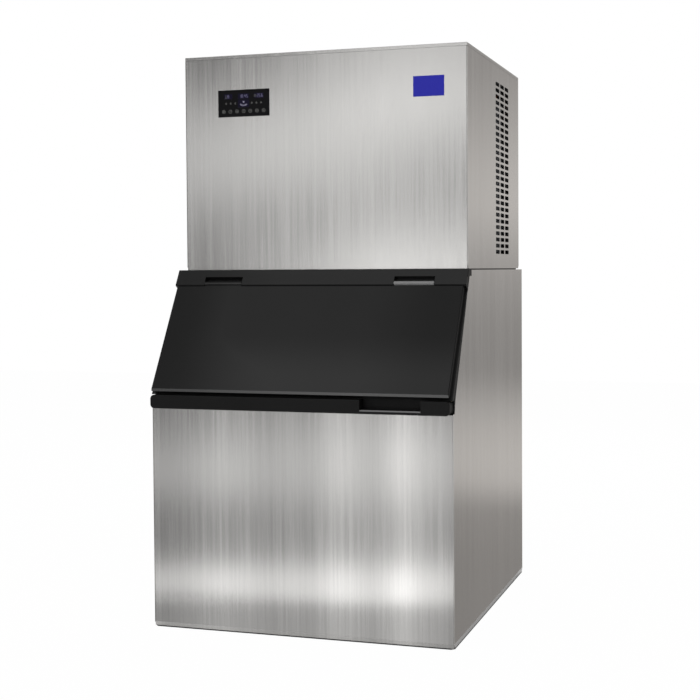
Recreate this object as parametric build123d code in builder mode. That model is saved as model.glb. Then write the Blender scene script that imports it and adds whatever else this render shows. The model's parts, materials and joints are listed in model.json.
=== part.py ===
from build123d import *

import os
from math import atan, cos, radians, sin

os.makedirs("parts", exist_ok=True)

# Frame: origin at the centre of the bin's footprint on the floor, front faces -Y, +Z up.

# Overall sizes of the two cabinets
bin_width = 762.0
bin_depth = 830.0
bin_height = 880.0
head_width = 744.0
head_depth = 640.0
head_height = 546.0

# Sheet metal and walls
sheet = 1.0
fold = 14.0
fold_radius = 1.6
corner_cut = 8.0
seat_gap = 0.3
insulation = 48.0
liner_wall = 3.0
liner_radius = 10.0
liner_cove = 5.0
floor_insulation = 52.0

# Base pan and leg sockets
base_lip = 3.0
base_upstand = 22.0
base_wall = 2.0
leg_inset_x = 51.0
leg_inset_y = 50.0
leg_boss_half = 15.0
leg_boss_height = 18.0
leg_hole_radius = 5.1

# Sloping door opening, seen from the side
door_foot_out = 24.6
door_foot_drop = 295.0
door_end_gap = 7.0
door_skirt = 20.0
door_wall = 3.0
door_bevel = 8.0
door_bevel_depth = 5.0
land_depth = 21.0
strip_top_depth = 31.7
strip_face = 46.0
strip_bevel = 2.5
strip_gap = 2.4
edge_foot_in = 21.0
edge_foot_drop = 299.0
edge_top_lead = 22.0
edge_top_drop = 18.0
steel_jog_drop = 335.0
steel_jog = 12.0
sill_bottom_drop = 337.0
sill_height = 33.0
sill_nose = 20.0
sill_end_gap = 4.0
sill_corner = 10.0
frame_wall = 3.0
frame_tuck = 12.0
throat_lip = 7.0
throat_foot_land = 22.4
throat_top_land = 38.6
pocket_width = 148.0
pocket_end = 73.0
pocket_rise = 9.0
pocket_depth = 30.0
pocket_lip = 3.0

# Door hinge
hinge_above_door = 10.0
hinge_below_face = 2.6
knuckle_radius = 4.4
hinge_pin_radius = 1.8
hinge_pin_engage = 8.0
running_gap = 0.08
tab_inset = 131.0
tab_width = 100.0
tab_recess = 3.0
tab_thickness = 6.0
tab_side_gap = 1.0
notch_above_pin = 17.5
notch_depth = 13.0

# Door lining
inner_panel_wall = 2.5
inner_panel_depth = 12.0
plug_gap = 6.0
plug_depth = 50.0
plug_taper = 5.0
door_gasket_width = 14.0
door_gasket_offset = 7.0

# Joint between the bin and the head
rim_thickness = 3.0
head_gasket_thickness = 3.0
head_gasket_width = 18.0
hem_height = 13.0
hem_groove = 1.2

# Head sheet metal
cover_lip = 8.0
cover_seam = 0.5
head_base_sheet = 1.5
head_base_flange = 20.0
drop_side_room = 35.0
drop_depth = 122.0
drop_back_gap = 3.0

# Ventilation slots
slot_field_margin = 41.0
slot_columns = 3
slot_row_pitch = 16.5
slot_column_pitch = 60.0
slot_length = 49.0
slot_height = 10.6
slot_corner = 2.8
slot_back = 228.0
slot_drop = 6.0

# Control panel and badge
panel_side = 161.4
panel_drop = 122.0
panel_width = 140.0
panel_height = 68.0
panel_proud = 0.8
panel_glass = 4.0
panel_rim = 3.0
panel_housing_depth = 12.0
board_thickness = 1.6
badge_side = 96.5
badge_drop = 101.0
badge_width = 78.0
badge_height = 50.0
badge_thickness = 1.2

# Worked out once
half_width = bin_width / 2
front_y = -bin_depth / 2
back_y = bin_depth / 2
inner_half = half_width - sheet
rim_top = bin_height - head_gasket_thickness
rim_bottom = rim_top - rim_thickness
head_half = head_width / 2
head_front_y = back_y - head_depth
head_bottom = bin_height
head_top = bin_height + head_height
head_inner_half = head_half - sheet
head_floor = head_bottom + head_base_sheet
side_top = head_top - cover_lip - cover_seam
door_foot_y = front_y - door_foot_out
door_foot_z = bin_height - door_foot_drop
slope_rise = (head_front_y - strip_top_depth - door_foot_y) / door_foot_drop
slope = atan(slope_rise)
slope_sin = sin(slope)
slope_cos = cos(slope)
strip_end = door_foot_drop / slope_cos
strip_start = strip_end - strip_face
door_length = strip_start - strip_gap
door_half = half_width - door_end_gap
steel_edge_foot = (front_y + edge_foot_in, bin_height - edge_foot_drop)
steel_edge_top = (head_front_y - edge_top_lead, bin_height - edge_top_drop)
steel_jog_z = bin_height - steel_jog_drop
sill_bottom = bin_height - sill_bottom_drop
sill_top = sill_bottom + sill_height
sill_half = half_width - sill_end_gap
liner_half = inner_half - insulation
throat_half = liner_half - throat_lip
skirt_foot = door_skirt * slope_rise
flange_low = skirt_foot + 1.4 * door_wall + 1
throat_low = flange_low + throat_foot_land
throat_high = door_length - throat_top_land
pocket_right = half_width - pocket_end
pocket_left = pocket_right - pocket_width
pocket_floor_z = sill_bottom + pocket_rise
tab_centre = half_width - tab_inset
leg_spacing_x = bin_width - 2 * leg_inset_x
leg_spacing_y = bin_depth - 2 * leg_inset_y
slot_rows = int((head_height - 2 * slot_field_margin) / slot_row_pitch)
slot_centre_y = back_y - slot_back
slot_centre_z = head_bottom + head_height / 2 - slot_drop
panel_centre_x = panel_side - head_half
panel_centre_z = head_top - panel_drop
badge_centre_x = head_half - badge_side
badge_centre_z = head_top - badge_drop
hinge_along = door_length + hinge_above_door
liner_outward = -(land_depth + insulation)


def door_point(along, outward):
    """Side-view point (y, z) a distance up the door's slope and another out of its face."""
    return (
        door_foot_y + along * slope_sin - outward * slope_cos,
        door_foot_z + along * slope_cos + outward * slope_sin,
    )


def slope_y(z, outward):
    """Side-view y of a plane parallel to the door's face, at a height."""
    return door_foot_y + (z - door_foot_z) * slope_rise - outward / slope_cos


door_plane = Plane(
    origin=(0, door_foot_y, door_foot_z), x_dir=(1, 0, 0), z_dir=(0, -slope_cos, slope_sin)
)


def side_slab(points, x_low, x_high, mode=Mode.ADD):
    """Side-view outline, run across the width."""
    with BuildSketch(Plane.YZ.offset(x_low)) as outline:
        with BuildLine():
            Polyline(*points, close=True)
        make_face()
    extrude(outline.sketch, amount=x_high - x_low, mode=mode)


def block(low, high, mode=Mode.ADD):
    """Square block between two opposite corners."""
    with Locations(tuple((a + b) / 2 for a, b in zip(low, high))):
        Box(*(b - a for a, b in zip(low, high)), mode=mode)


def rod(centre, direction, radius, length, mode=Mode.ADD):
    """Round bar from a centre along a direction."""
    with BuildSketch(Plane(origin=centre, z_dir=direction)) as end:
        Circle(radius)
    extrude(end.sketch, amount=length, mode=mode)


def tube(points, radius, bend):
    """Thin tube along straight runs joined by arcs; its section has eight flats to stay light."""
    with BuildLine() as route:
        FilletPolyline(*points, radius=bend)
    with BuildSketch(Plane(origin=route.line @ 0, z_dir=route.line % 0)) as section:
        RegularPolygon(radius, 8)
    sweep(section.sketch, path=route.line)


def folded_sheet(half, face_y, inward, z_low, z_high):
    """Upright sheet with both side edges folded back; inward is +1 or -1 along Y."""
    with BuildSketch(Plane.XY.offset(z_low)) as section:
        with Locations((0, face_y + inward * fold / 2)):
            Rectangle(2 * half, fold)
        fillet(section.vertices().group_by(Axis.Y)[0 if inward > 0 else -1], fold_radius)
        with Locations((0, face_y + inward * (fold / 2 + sheet))):
            Rectangle(2 * (half - sheet), fold, mode=Mode.SUBTRACT)
    extrude(section.sketch, amount=z_high - z_low)


# Black base pan: thin lip under the panels, upstand inside them, four threaded leg sockets
with BuildPart() as base_pan:
    with BuildSketch():
        Rectangle(bin_width, bin_depth)
    extrude(amount=base_lip)
    chamfer(base_pan.edges().filter_by(Axis.Z), corner_cut)
    upstand_inset = 2 * sheet + seat_gap
    with BuildSketch(Plane.XY.offset(base_lip)):
        Rectangle(bin_width - 2 * upstand_inset, bin_depth - 2 * upstand_inset)
        Rectangle(
            bin_width - 2 * (upstand_inset + base_wall),
            bin_depth - 2 * (upstand_inset + base_wall),
            mode=Mode.SUBTRACT,
        )
    extrude(amount=base_upstand)
    with BuildSketch(Plane.XY.offset(base_lip)):
        with GridLocations(leg_spacing_x, leg_spacing_y, 2, 2):
            Rectangle(2 * leg_boss_half, 2 * leg_boss_half)
    extrude(amount=leg_boss_height)
    with BuildSketch():
        with GridLocations(leg_spacing_x, leg_spacing_y, 2, 2):
            Circle(leg_hole_radius)
    extrude(amount=base_lip + leg_boss_height, mode=Mode.SUBTRACT)

# Stainless side sheets of the bin, cut back along the sloping door
side_outline = (
    (front_y + corner_cut, base_lip),
    (front_y, base_lip + corner_cut),
    (front_y, steel_jog_z),
    (front_y + steel_jog, steel_jog_z),
    steel_edge_foot,
    steel_edge_top,
    (head_front_y, steel_edge_top[1]),
    (head_front_y, rim_top),
    (back_y, rim_top),
    (back_y, base_lip + corner_cut),
    (back_y - corner_cut, base_lip),
)
hem_z = rim_top - hem_height
hem_low = hem_z - hem_groove
with BuildPart() as bin_left_panel:
    side_slab(side_outline, -half_width, -inner_half)
    block(
        (-half_width - 1, steel_edge_top[0], hem_low),
        (-half_width + 0.4, back_y, hem_z),
        Mode.SUBTRACT,
    )
with BuildPart() as bin_right_panel:
    side_slab(side_outline, inner_half, half_width)
    block(
        (half_width - 0.4, steel_edge_top[0], hem_low),
        (half_width + 1, back_y, hem_z),
        Mode.SUBTRACT,
    )

# Front sheet of the bin, folded at both sides and along its top edge
with BuildPart() as bin_front_panel:
    folded_sheet(inner_half, front_y, 1, base_lip, sill_bottom)
    block(
        (-inner_half + sheet, front_y + sheet, sill_bottom - sheet),
        (inner_half - sheet, front_y + fold, sill_bottom),
    )

# Back sheet of the bin with the drain hole
drain_x = 0.0
drain_rise = 40.0
drain_radius = 10.5
drain_pipe_wall = 2.5
liner_floor = base_lip + floor_insulation
drain_z = liner_floor + liner_wall + drain_rise
with BuildPart() as bin_back_panel:
    folded_sheet(inner_half, back_y, -1, base_lip, rim_top)
    rod((drain_x, back_y + 1, drain_z), (0, -1, 0), drain_radius + seat_gap, 3, Mode.SUBTRACT)

# Black moulded door frame: sill, two wedge jambs, head strip with the hinge notches, throat
frame_outline = (
    (front_y + fold, sill_bottom),
    (front_y + fold, sill_top),
    (slope_y(sill_top, -land_depth), sill_top),
    door_point(strip_start, -land_depth),
    door_point(strip_start, -strip_bevel),
    door_point(strip_start + strip_bevel, 0),
    door_point(strip_end, 0),
    (head_front_y - 1, bin_height),
    (head_front_y - 1, steel_edge_top[1] - frame_tuck),
    (steel_edge_top[0] + frame_tuck, steel_edge_top[1] - frame_tuck),
    (steel_edge_foot[0] + frame_tuck, steel_edge_foot[1] - frame_tuck),
    (steel_edge_foot[0] + frame_tuck, sill_bottom),
)
nose_y = front_y - sill_nose
hollow_y = nose_y + pocket_depth + frame_wall
hollow_z = door_foot_z + (hollow_y - slope_y(door_foot_z, -land_depth - frame_wall)) / slope_rise
frame_hollow = (
    (hollow_y, sill_bottom + frame_wall),
    (hollow_y, hollow_z),
    door_point(throat_high + frame_tuck, -land_depth - frame_wall),
    (head_front_y - 1 - frame_wall, steel_edge_top[1] - frame_wall),
    (head_front_y + frame_tuck, steel_edge_top[1] - 2 * frame_tuck),
    (steel_edge_foot[0] + 3 * frame_tuck, sill_bottom + frame_wall),
)
throat_mid = (throat_low + throat_high) / 2
throat_tall = throat_high - throat_low
with BuildPart() as door_frame:
    side_slab(frame_outline, -inner_half, inner_half)
    # The sill's nose stops short of the side sheets and has rounded lower corners
    with BuildSketch(Plane.XZ.offset(-nose_y)) as nose:
        with Locations((0, (sill_bottom + sill_top) / 2)):
            Rectangle(2 * sill_half, sill_top - sill_bottom)
        fillet(nose.vertices().group_by(Axis.Z)[0], sill_corner)
    extrude(amount=-(steel_edge_foot[0] + frame_tuck - nose_y))
    side_slab(frame_hollow, -sill_half + frame_wall, sill_half - frame_wall, Mode.SUBTRACT)
    # Throat through the insulation to the liner
    with BuildSketch(door_plane.offset(-land_depth)):
        with Locations((0, throat_mid)):
            Rectangle(2 * (throat_half + frame_wall), throat_tall + 2 * frame_wall)
    extrude(amount=-insulation)
    with BuildSketch(door_plane):
        with Locations((0, throat_mid)):
            Rectangle(2 * throat_half, throat_tall)
    extrude(amount=liner_outward, mode=Mode.SUBTRACT)
    # End caps of the head strip over the tops of the side sheets
    cap_outline = (
        door_point(strip_end - 20, -4),
        door_point(strip_end, -4),
        (head_front_y - 1, bin_height),
        (head_front_y - 1, steel_edge_top[1] + seat_gap),
        (steel_edge_top[0] + 2, steel_edge_top[1] + seat_gap),
    )
    side_slab(cap_outline, -half_width, half_width)
    # Finger pocket in the sill, open at the top under the door's edge, with a bevelled lip
    pocket_outline = (
        (nose_y - 1, sill_top + 1),
        (nose_y - 1, pocket_floor_z - pocket_lip - 1),
        (nose_y + pocket_lip, pocket_floor_z),
        (nose_y + pocket_depth, pocket_floor_z),
        (nose_y + pocket_depth, sill_top + 1),
    )
    side_slab(pocket_outline, pocket_left, pocket_right, Mode.SUBTRACT)
    # Hinge notches and the pin bores beside them
    notch_half = tab_width / 2 + tab_side_gap
    pin_y, pin_z = door_point(hinge_along, -hinge_below_face)
    notch_outline = (
        door_point(strip_start - 1, 1),
        door_point(hinge_along + notch_above_pin, 1),
        door_point(hinge_along + notch_above_pin, -notch_depth),
        door_point(strip_start - 1, -notch_depth),
    )
    for side in (-1, 1):
        centre_x = side * tab_centre
        side_slab(notch_outline, centre_x - notch_half, centre_x + notch_half, Mode.SUBTRACT)
        pin_half = notch_half + hinge_pin_engage
        rod(
            (centre_x - pin_half, pin_y, pin_z),
            (1, 0, 0),
            hinge_pin_radius,
            2 * pin_half,
            Mode.SUBTRACT,
        )

# Steel hinge pins, held in the frame
with BuildPart() as door_hinge_pins:
    for side in (-1, 1):
        rod((side * tab_centre - pin_half, pin_y, pin_z), (1, 0, 0), hinge_pin_radius, 2 * pin_half)

# White inner tub: one moulding, open at the top and at the door
liner_front = front_y + sheet + insulation
liner_back = back_y - sheet - insulation
liner_outline = (
    (liner_front, liner_floor),
    (liner_front, door_foot_z + (liner_front - slope_y(door_foot_z, liner_outward)) / slope_rise),
    (slope_y(rim_bottom, liner_outward), rim_bottom),
    (liner_back, rim_bottom),
    (liner_back, liner_floor),
)
with BuildPart() as liner_form:
    side_slab(liner_outline, -liner_half, liner_half)
    fillet(
        liner_form.edges().filter_by(lambda e: abs(e.center().X) > 1 and abs(e.tangent_at(0.5).Z) > 0.1),
        liner_radius,
    )
    chamfer(liner_form.faces().sort_by(Axis.Z)[0].edges(), liner_cove)
with BuildPart() as bin_liner:
    add(liner_form.part)
    offset(amount=-liner_wall, openings=bin_liner.faces().sort_by(Axis.Z)[-1])
    with BuildSketch(door_plane):
        with Locations((0, throat_mid)):
            Rectangle(2 * throat_half, throat_tall)
    extrude(amount=liner_outward - 2 * liner_wall, mode=Mode.SUBTRACT)
    rod((drain_x, liner_back - 30, drain_z), (0, 1, 0), drain_radius + seat_gap, 60, Mode.SUBTRACT)

# Top rim: plastic ring that closes the insulation between the sheets and the tub
liner_top_front = slope_y(rim_bottom, liner_outward)
with BuildPart() as bin_top_rim:
    block((-inner_half, head_front_y, rim_bottom), (inner_half, back_y - fold, rim_top))
    block(
        (-liner_half + liner_wall, liner_top_front + liner_wall + 1, rim_bottom),
        (liner_half - liner_wall, liner_back - liner_wall, rim_top),
        Mode.SUBTRACT,
    )

# Foam that fills the space between sheets, frame and tub
foam_outline = (
    (front_y + sheet, base_lip),
    (front_y + sheet, sill_bottom),
    (steel_edge_foot[0] + frame_tuck, sill_bottom),
    (steel_edge_foot[0] + frame_tuck, steel_edge_foot[1] - frame_tuck),
    (steel_edge_top[0] + frame_tuck, steel_edge_top[1] - frame_tuck),
    (head_front_y, steel_edge_top[1] - frame_tuck),
    (head_front_y, rim_bottom),
    (back_y - sheet, rim_bottom),
    (back_y - sheet, base_lip),
)
with BuildPart() as bin_insulation:
    side_slab(foam_outline, -inner_half, inner_half)
    upright = bin_insulation.edges().filter_by(Axis.Z).group_by(Axis.Y)
    chamfer(upright[0] + upright[-1], fold_radius)
    side_slab(frame_hollow, -sill_half + frame_wall, sill_half - frame_wall)
    add(liner_form.part, mode=Mode.SUBTRACT)
    with BuildSketch(door_plane):
        with Locations((0, throat_mid)):
            Rectangle(2 * throat_half, throat_tall)
    extrude(amount=liner_outward - liner_wall, mode=Mode.SUBTRACT)
    for neighbour in (base_pan, bin_front_panel, bin_back_panel, door_frame):
        add(neighbour.part, mode=Mode.SUBTRACT)
    rod(
        (drain_x, liner_back - insulation, drain_z),
        (0, 1, 0),
        drain_radius + seat_gap,
        3 * insulation,
        Mode.SUBTRACT,
    )
    with BuildSketch(Plane.XY.offset(base_lip)):
        with GridLocations(leg_spacing_x, leg_spacing_y, 2, 2):
            Rectangle(2 * leg_boss_half, 2 * leg_boss_half)
    extrude(amount=leg_boss_height, mode=Mode.SUBTRACT)

# Drain pipe from the tub through the back, with a threaded end
drain_stub = 28.0
drain_flange_radius = 18.0
with BuildPart() as bin_drain_fitting:
    pipe_start = liner_back - liner_wall - 3
    rod((drain_x, pipe_start, drain_z), (0, 1, 0), drain_radius, back_y + drain_stub - pipe_start)
    rod((drain_x, pipe_start, drain_z), (0, 1, 0), drain_flange_radius, 3 - seat_gap / 3)
    rod((drain_x, back_y, drain_z), (0, 1, 0), drain_flange_radius, 5)
    rod(
        (drain_x, pipe_start - 1, drain_z),
        (0, 1, 0),
        drain_radius - drain_pipe_wall,
        back_y + drain_stub - pipe_start + 2,
        Mode.SUBTRACT,
    )

# Strainer basket over the drain, inside the tub
with BuildPart() as drain_strainer:
    strainer_y = pipe_start - seat_gap
    rod((drain_x, strainer_y, drain_z), (0, -1, 0), drain_flange_radius, 8)
    rod((drain_x, strainer_y, drain_z), (0, -1, 0), drain_flange_radius - 2, 6, Mode.SUBTRACT)
    with BuildSketch(Plane(origin=(drain_x, strainer_y, drain_z), z_dir=(0, -1, 0))):
        with PolarLocations(10.5, 6):
            Rectangle(5, 5)
    extrude(amount=10, mode=Mode.SUBTRACT)

# Ice level sensor: a small housing on the tub's left wall with its two lenses
level_y = 60.0
level_drop = 64.0
level_z = rim_bottom - level_drop
with BuildPart() as ice_level_sensor:
    wall_x = -(liner_half - liner_wall)
    block((wall_x, level_y - 22, level_z - 14), (wall_x + 14, level_y + 22, level_z + 14))
    chamfer(ice_level_sensor.edges().filter_by(Axis.X), 4)
    for offset_y in (-11, 11):
        rod((wall_x + 14, level_y + offset_y, level_z), (1, 0, 0), 5, 2)

# Gasket between the bin's rim and the head
with BuildPart() as head_gasket:
    inset = 5.0
    outer_low = (-head_half + inset, head_front_y + inset, rim_top)
    outer_high = (head_half - inset, back_y - fold - 1, head_bottom)
    block(outer_low, outer_high)
    block(
        (outer_low[0] + head_gasket_width, outer_low[1] + head_gasket_width, rim_top - 1),
        (outer_high[0] - head_gasket_width, outer_high[1] - head_gasket_width, head_bottom + 1),
        Mode.SUBTRACT,
    )

# Door: outer moulding with a skirt and two hinge tabs
door_outline = (
    door_point(door_bevel, 0),
    door_point(door_length, 0),
    door_point(door_length, -door_skirt),
    door_point(skirt_foot, -door_skirt),
    door_point(door_bevel_depth * slope_rise, -door_bevel_depth),
)
inner_low = door_wall * 2 + skirt_foot / 2
door_hollow = (
    door_point(inner_low, -door_wall),
    door_point(door_length - door_wall, -door_wall),
    door_point(door_length - door_wall, -door_skirt - 1),
    door_point(skirt_foot + door_wall * 1.4, -door_skirt - 1),
)
tab_outline = (
    door_point(door_length - door_wall, -tab_recess),
    door_point(hinge_along, -tab_recess),
    door_point(hinge_along, -tab_recess - tab_thickness),
    door_point(door_length - door_wall, -tab_recess - tab_thickness),
)
with BuildPart() as door_shell:
    side_slab(door_outline, -door_half, door_half)
    side_edges = (
        door_shell.edges()
        .filter_by(Axis(origin=(0, 0, 0), direction=(0, slope_sin, slope_cos)))
        .filter_by(lambda e: abs(e.center().X) > door_half - 1)
    )
    chamfer(side_edges.group_by(Axis((0, 0, 0), (0, -slope_cos, slope_sin)))[-1], 1.5)
    side_slab(door_hollow, -door_half + door_wall, door_half - door_wall, Mode.SUBTRACT)
    for side in (-1, 1):
        centre_x = side * tab_centre
        side_slab(tab_outline, centre_x - tab_width / 2, centre_x + tab_width / 2)
        rod((centre_x - tab_width / 2, pin_y, pin_z), (1, 0, 0), knuckle_radius, tab_width)
        rod(
            (centre_x - tab_width / 2 - 1, pin_y, pin_z),
            (1, 0, 0),
            hinge_pin_radius + running_gap,
            tab_width + 2,
            Mode.SUBTRACT,
        )

# Door lining: flat flange inside the skirt and a tapered plug that fills the throat
flange_half = door_half - door_wall - seat_gap
flange_high = door_length - door_wall - seat_gap
plug_mid = throat_mid + 1
plug_half = throat_half - plug_gap
plug_tall = throat_tall - 2 * plug_gap - 2
with BuildPart() as door_inner_panel:
    with BuildSketch(door_plane.offset(-inner_panel_depth)):
        with Locations((0, (flange_low + flange_high) / 2)):
            Rectangle(2 * flange_half, flange_high - flange_low)
    extrude(amount=-inner_panel_wall)
    with BuildSketch(door_plane.offset(-inner_panel_depth - inner_panel_wall)):
        with Locations((0, plug_mid)):
            Rectangle(2 * plug_half, plug_tall)
    extrude(amount=-(plug_depth - inner_panel_depth - inner_panel_wall), taper=plug_taper)
    with BuildSketch(door_plane.offset(-inner_panel_depth)):
        with Locations((0, plug_mid)):
            Rectangle(2 * (plug_half - inner_panel_wall), plug_tall - 2 * inner_panel_wall)
    extrude(
        amount=-(plug_depth - inner_panel_depth - inner_panel_wall),
        taper=plug_taper,
        mode=Mode.SUBTRACT,
    )

# Door foam: from the outer moulding to the lining, and the inside of the plug
with BuildPart() as door_foam:
    with BuildSketch(door_plane.offset(-door_wall)):
        with Locations((0, (flange_low + flange_high) / 2)):
            Rectangle(2 * flange_half, flange_high - flange_low)
    extrude(amount=-(inner_panel_depth - door_wall))
    with BuildSketch(door_plane.offset(-inner_panel_depth)):
        with Locations((0, plug_mid)):
            Rectangle(2 * (plug_half - inner_panel_wall), plug_tall - 2 * inner_panel_wall)
    extrude(amount=-(plug_depth - inner_panel_depth - inner_panel_wall), taper=plug_taper)

# Door gasket: ring on the lining's flange, just clear of the frame's land
gasket_rise = land_depth - inner_panel_depth - inner_panel_wall - seat_gap
gasket_half = throat_half + door_gasket_offset
gasket_tall = throat_tall + 2 * door_gasket_offset
with BuildPart() as door_gasket:
    with BuildSketch(door_plane.offset(-inner_panel_depth - inner_panel_wall)):
        with Locations((0, throat_mid)):
            RectangleRounded(
                2 * (gasket_half + door_gasket_width), gasket_tall + 2 * door_gasket_width, 8
            )
            RectangleRounded(2 * gasket_half, gasket_tall, 4, mode=Mode.SUBTRACT)
    extrude(amount=-gasket_rise)

# Layout of the head's inside: wet side in front of the wall, refrigeration side behind it
wet_depth = 287.0
cup_pitch = 32.0
cup_wall = 3.0
evaporator_side_room = 145.0
evaporator_height_room = 264.0
evaporator_standoff = 97.0
evaporator_lift = 200.0
wall_y = head_front_y + wet_depth
cup_columns = int(2 * (head_inner_half - evaporator_side_room) / cup_pitch)
cup_rows = int((head_height - evaporator_height_room) / cup_pitch)
cup_size = cup_pitch - cup_wall
grid_width = cup_columns * cup_pitch + 2
grid_tall = cup_rows * cup_pitch + 2
evaporator_front = wall_y - evaporator_standoff
evaporator_low = head_bottom + evaporator_lift
drop_half = grid_width / 2 + drop_side_room
drop_back = evaporator_front - drop_back_gap
drop_front = drop_back - drop_depth

# Head base pan with the ice drop opening and upturned edges
with BuildPart() as head_base_pan:
    flange_inset = sheet + seat_gap
    pan_half = head_inner_half - flange_inset
    block((-pan_half, head_front_y + sheet, head_bottom), (pan_half, back_y - sheet, head_floor))
    with BuildSketch(Plane.XY.offset(head_floor)):
        with Locations((0, (head_front_y + back_y) / 2)):
            Rectangle(2 * (head_inner_half - flange_inset), head_depth - 2 * (sheet + flange_inset))
            Rectangle(
                2 * (head_inner_half - flange_inset - head_base_sheet),
                head_depth - 2 * (sheet + flange_inset + head_base_sheet),
                mode=Mode.SUBTRACT,
            )
    extrude(amount=head_base_flange)
    block(
        (-drop_half, drop_front, head_bottom - 1),
        (drop_half, drop_back, head_floor + 1),
        Mode.SUBTRACT,
    )

# Head side sheets with three columns of ventilation slots
head_side_outline = (
    (head_front_y + corner_cut, head_bottom),
    (head_front_y, head_bottom + corner_cut),
    (head_front_y, side_top),
    (back_y, side_top),
    (back_y, head_bottom + corner_cut),
    (back_y - corner_cut, head_bottom),
)


def head_side(x_low, x_high):
    """One side sheet of the head."""
    side_slab(head_side_outline, x_low, x_high)
    with BuildSketch(Plane.YZ.offset(x_low)) as slots:
        with Locations((slot_centre_y, slot_centre_z)):
            with GridLocations(slot_column_pitch, slot_row_pitch, slot_columns, slot_rows):
                Rectangle(slot_length, slot_height)
        chamfer(slots.vertices(), slot_corner)
    extrude(slots.sketch, amount=x_high - x_low, mode=Mode.SUBTRACT)


with BuildPart() as head_left_panel:
    head_side(-head_half, -head_inner_half)
with BuildPart() as head_right_panel:
    head_side(head_inner_half, head_half)

# Head front sheet with the control panel's window
with BuildPart() as head_front_panel:
    folded_sheet(head_inner_half, head_front_y, 1, head_bottom, side_top)
    block(
        (
            panel_centre_x - panel_width / 2 - seat_gap,
            head_front_y - 1,
            panel_centre_z - panel_height / 2 - seat_gap,
        ),
        (
            panel_centre_x + panel_width / 2 + seat_gap,
            head_front_y + 2,
            panel_centre_z + panel_height / 2 + seat_gap,
        ),
        Mode.SUBTRACT,
    )

# Top cover with turned-down lips
with BuildPart() as head_top_cover:
    block((-head_half, head_front_y, head_top - cover_lip), (head_half, back_y, head_top))
    block(
        (-head_inner_half, head_front_y + sheet, head_top - cover_lip - 1),
        (head_inner_half, back_y - sheet, head_top - sheet),
        Mode.SUBTRACT,
    )
    fillet(head_top_cover.faces().sort_by(Axis.Z)[-1].edges(), 0.8)

# Head back sheet with louvre slots, service holes and folded edges
louvre_rows = 12
louvre_pitch = 18.0
louvre_width = 220.0
louvre_height = 6.0
louvre_x = -120.0
louvre_z = head_bottom + 270
service_side = 72.0
inlet_x = service_side - head_half
inlet_z = head_bottom + 120
inlet_radius = 13.2
dump_x = inlet_x
dump_z = head_bottom + 45
dump_radius = 10.5
gland_x = head_half - service_side
gland_z = head_bottom + 50
gland_radius = 9.0
with BuildPart() as head_back_panel:
    folded_sheet(head_inner_half, back_y, -1, head_bottom, side_top)
    with BuildSketch(Plane.XZ.offset(-back_y - 1)):
        with Locations((louvre_x, louvre_z)):
            with GridLocations(louvre_width + 20, louvre_pitch, 1, louvre_rows):
                Rectangle(louvre_width, louvre_height)
        with Locations((inlet_x, inlet_z)):
            Circle(inlet_radius + seat_gap)
        with Locations((dump_x, dump_z)):
            Circle(dump_radius + seat_gap)
        with Locations((gland_x, gland_z)):
            Circle(gland_radius + seat_gap)
    extrude(amount=3, mode=Mode.SUBTRACT)

# Touch control panel: glass with a housing rim behind it
glass_front = head_front_y - panel_proud
with BuildPart() as control_panel:
    panel_low_x = panel_centre_x - panel_width / 2
    panel_low_z = panel_centre_z - panel_height / 2
    block(
        (panel_low_x, glass_front, panel_low_z),
        (panel_low_x + panel_width, glass_front + panel_housing_depth, panel_low_z + panel_height),
    )
    chamfer(control_panel.edges().filter_by(Axis.Y), 1.2)
    block(
        (panel_low_x + panel_rim, glass_front + panel_glass, panel_low_z + panel_rim),
        (
            panel_low_x + panel_width - panel_rim,
            glass_front + panel_housing_depth + 1,
            panel_low_z + panel_height - panel_rim,
        ),
        Mode.SUBTRACT,
    )

# Display board on the housing's rim, with its display block and connector
board_y = glass_front + panel_housing_depth
with BuildPart() as control_board:
    block(
        (panel_low_x, board_y, panel_low_z),
        (panel_low_x + panel_width, board_y + board_thickness, panel_low_z + panel_height),
    )
    block(
        (panel_centre_x - 50, glass_front + panel_glass + 1, panel_centre_z + 4),
        (panel_centre_x + 50, board_y, panel_centre_z + 26),
    )
    block(
        (panel_centre_x - 14, board_y + board_thickness, panel_centre_z - 20),
        (panel_centre_x + 14, board_y + board_thickness + 8, panel_centre_z - 12),
    )

# Plain blue badge plate on the front sheet
with BuildPart() as badge_plate:
    block(
        (
            badge_centre_x - badge_width / 2,
            head_front_y - badge_thickness,
            badge_centre_z - badge_height / 2,
        ),
        (badge_centre_x + badge_width / 2, head_front_y, badge_centre_z + badge_height / 2),
    )
    chamfer(badge_plate.faces().sort_by(Axis.Y)[0].edges(), 0.4)

# Wall between the wet side in front and the refrigeration side behind
wall_thickness = 4.0
wall_flange = 8.0
wall_top = head_top - cover_lip - 12
with BuildPart() as compartment_wall:
    edge = head_inner_half - flange_inset - head_base_sheet - seat_gap
    block((-edge, wall_y, head_floor), (edge, wall_y + wall_thickness, wall_top))
    block(
        (-edge, wall_y + wall_thickness, head_floor),
        (edge, wall_y + wall_thickness + wall_flange, head_floor + 3),
    )
    for side in (-1, 1):
        x_pair = sorted((side * edge, side * (edge - 3)))
        block(
            (x_pair[0], wall_y + wall_thickness, head_floor),
            (x_pair[1], wall_y + wall_thickness + wall_flange, wall_top),
        )

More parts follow.
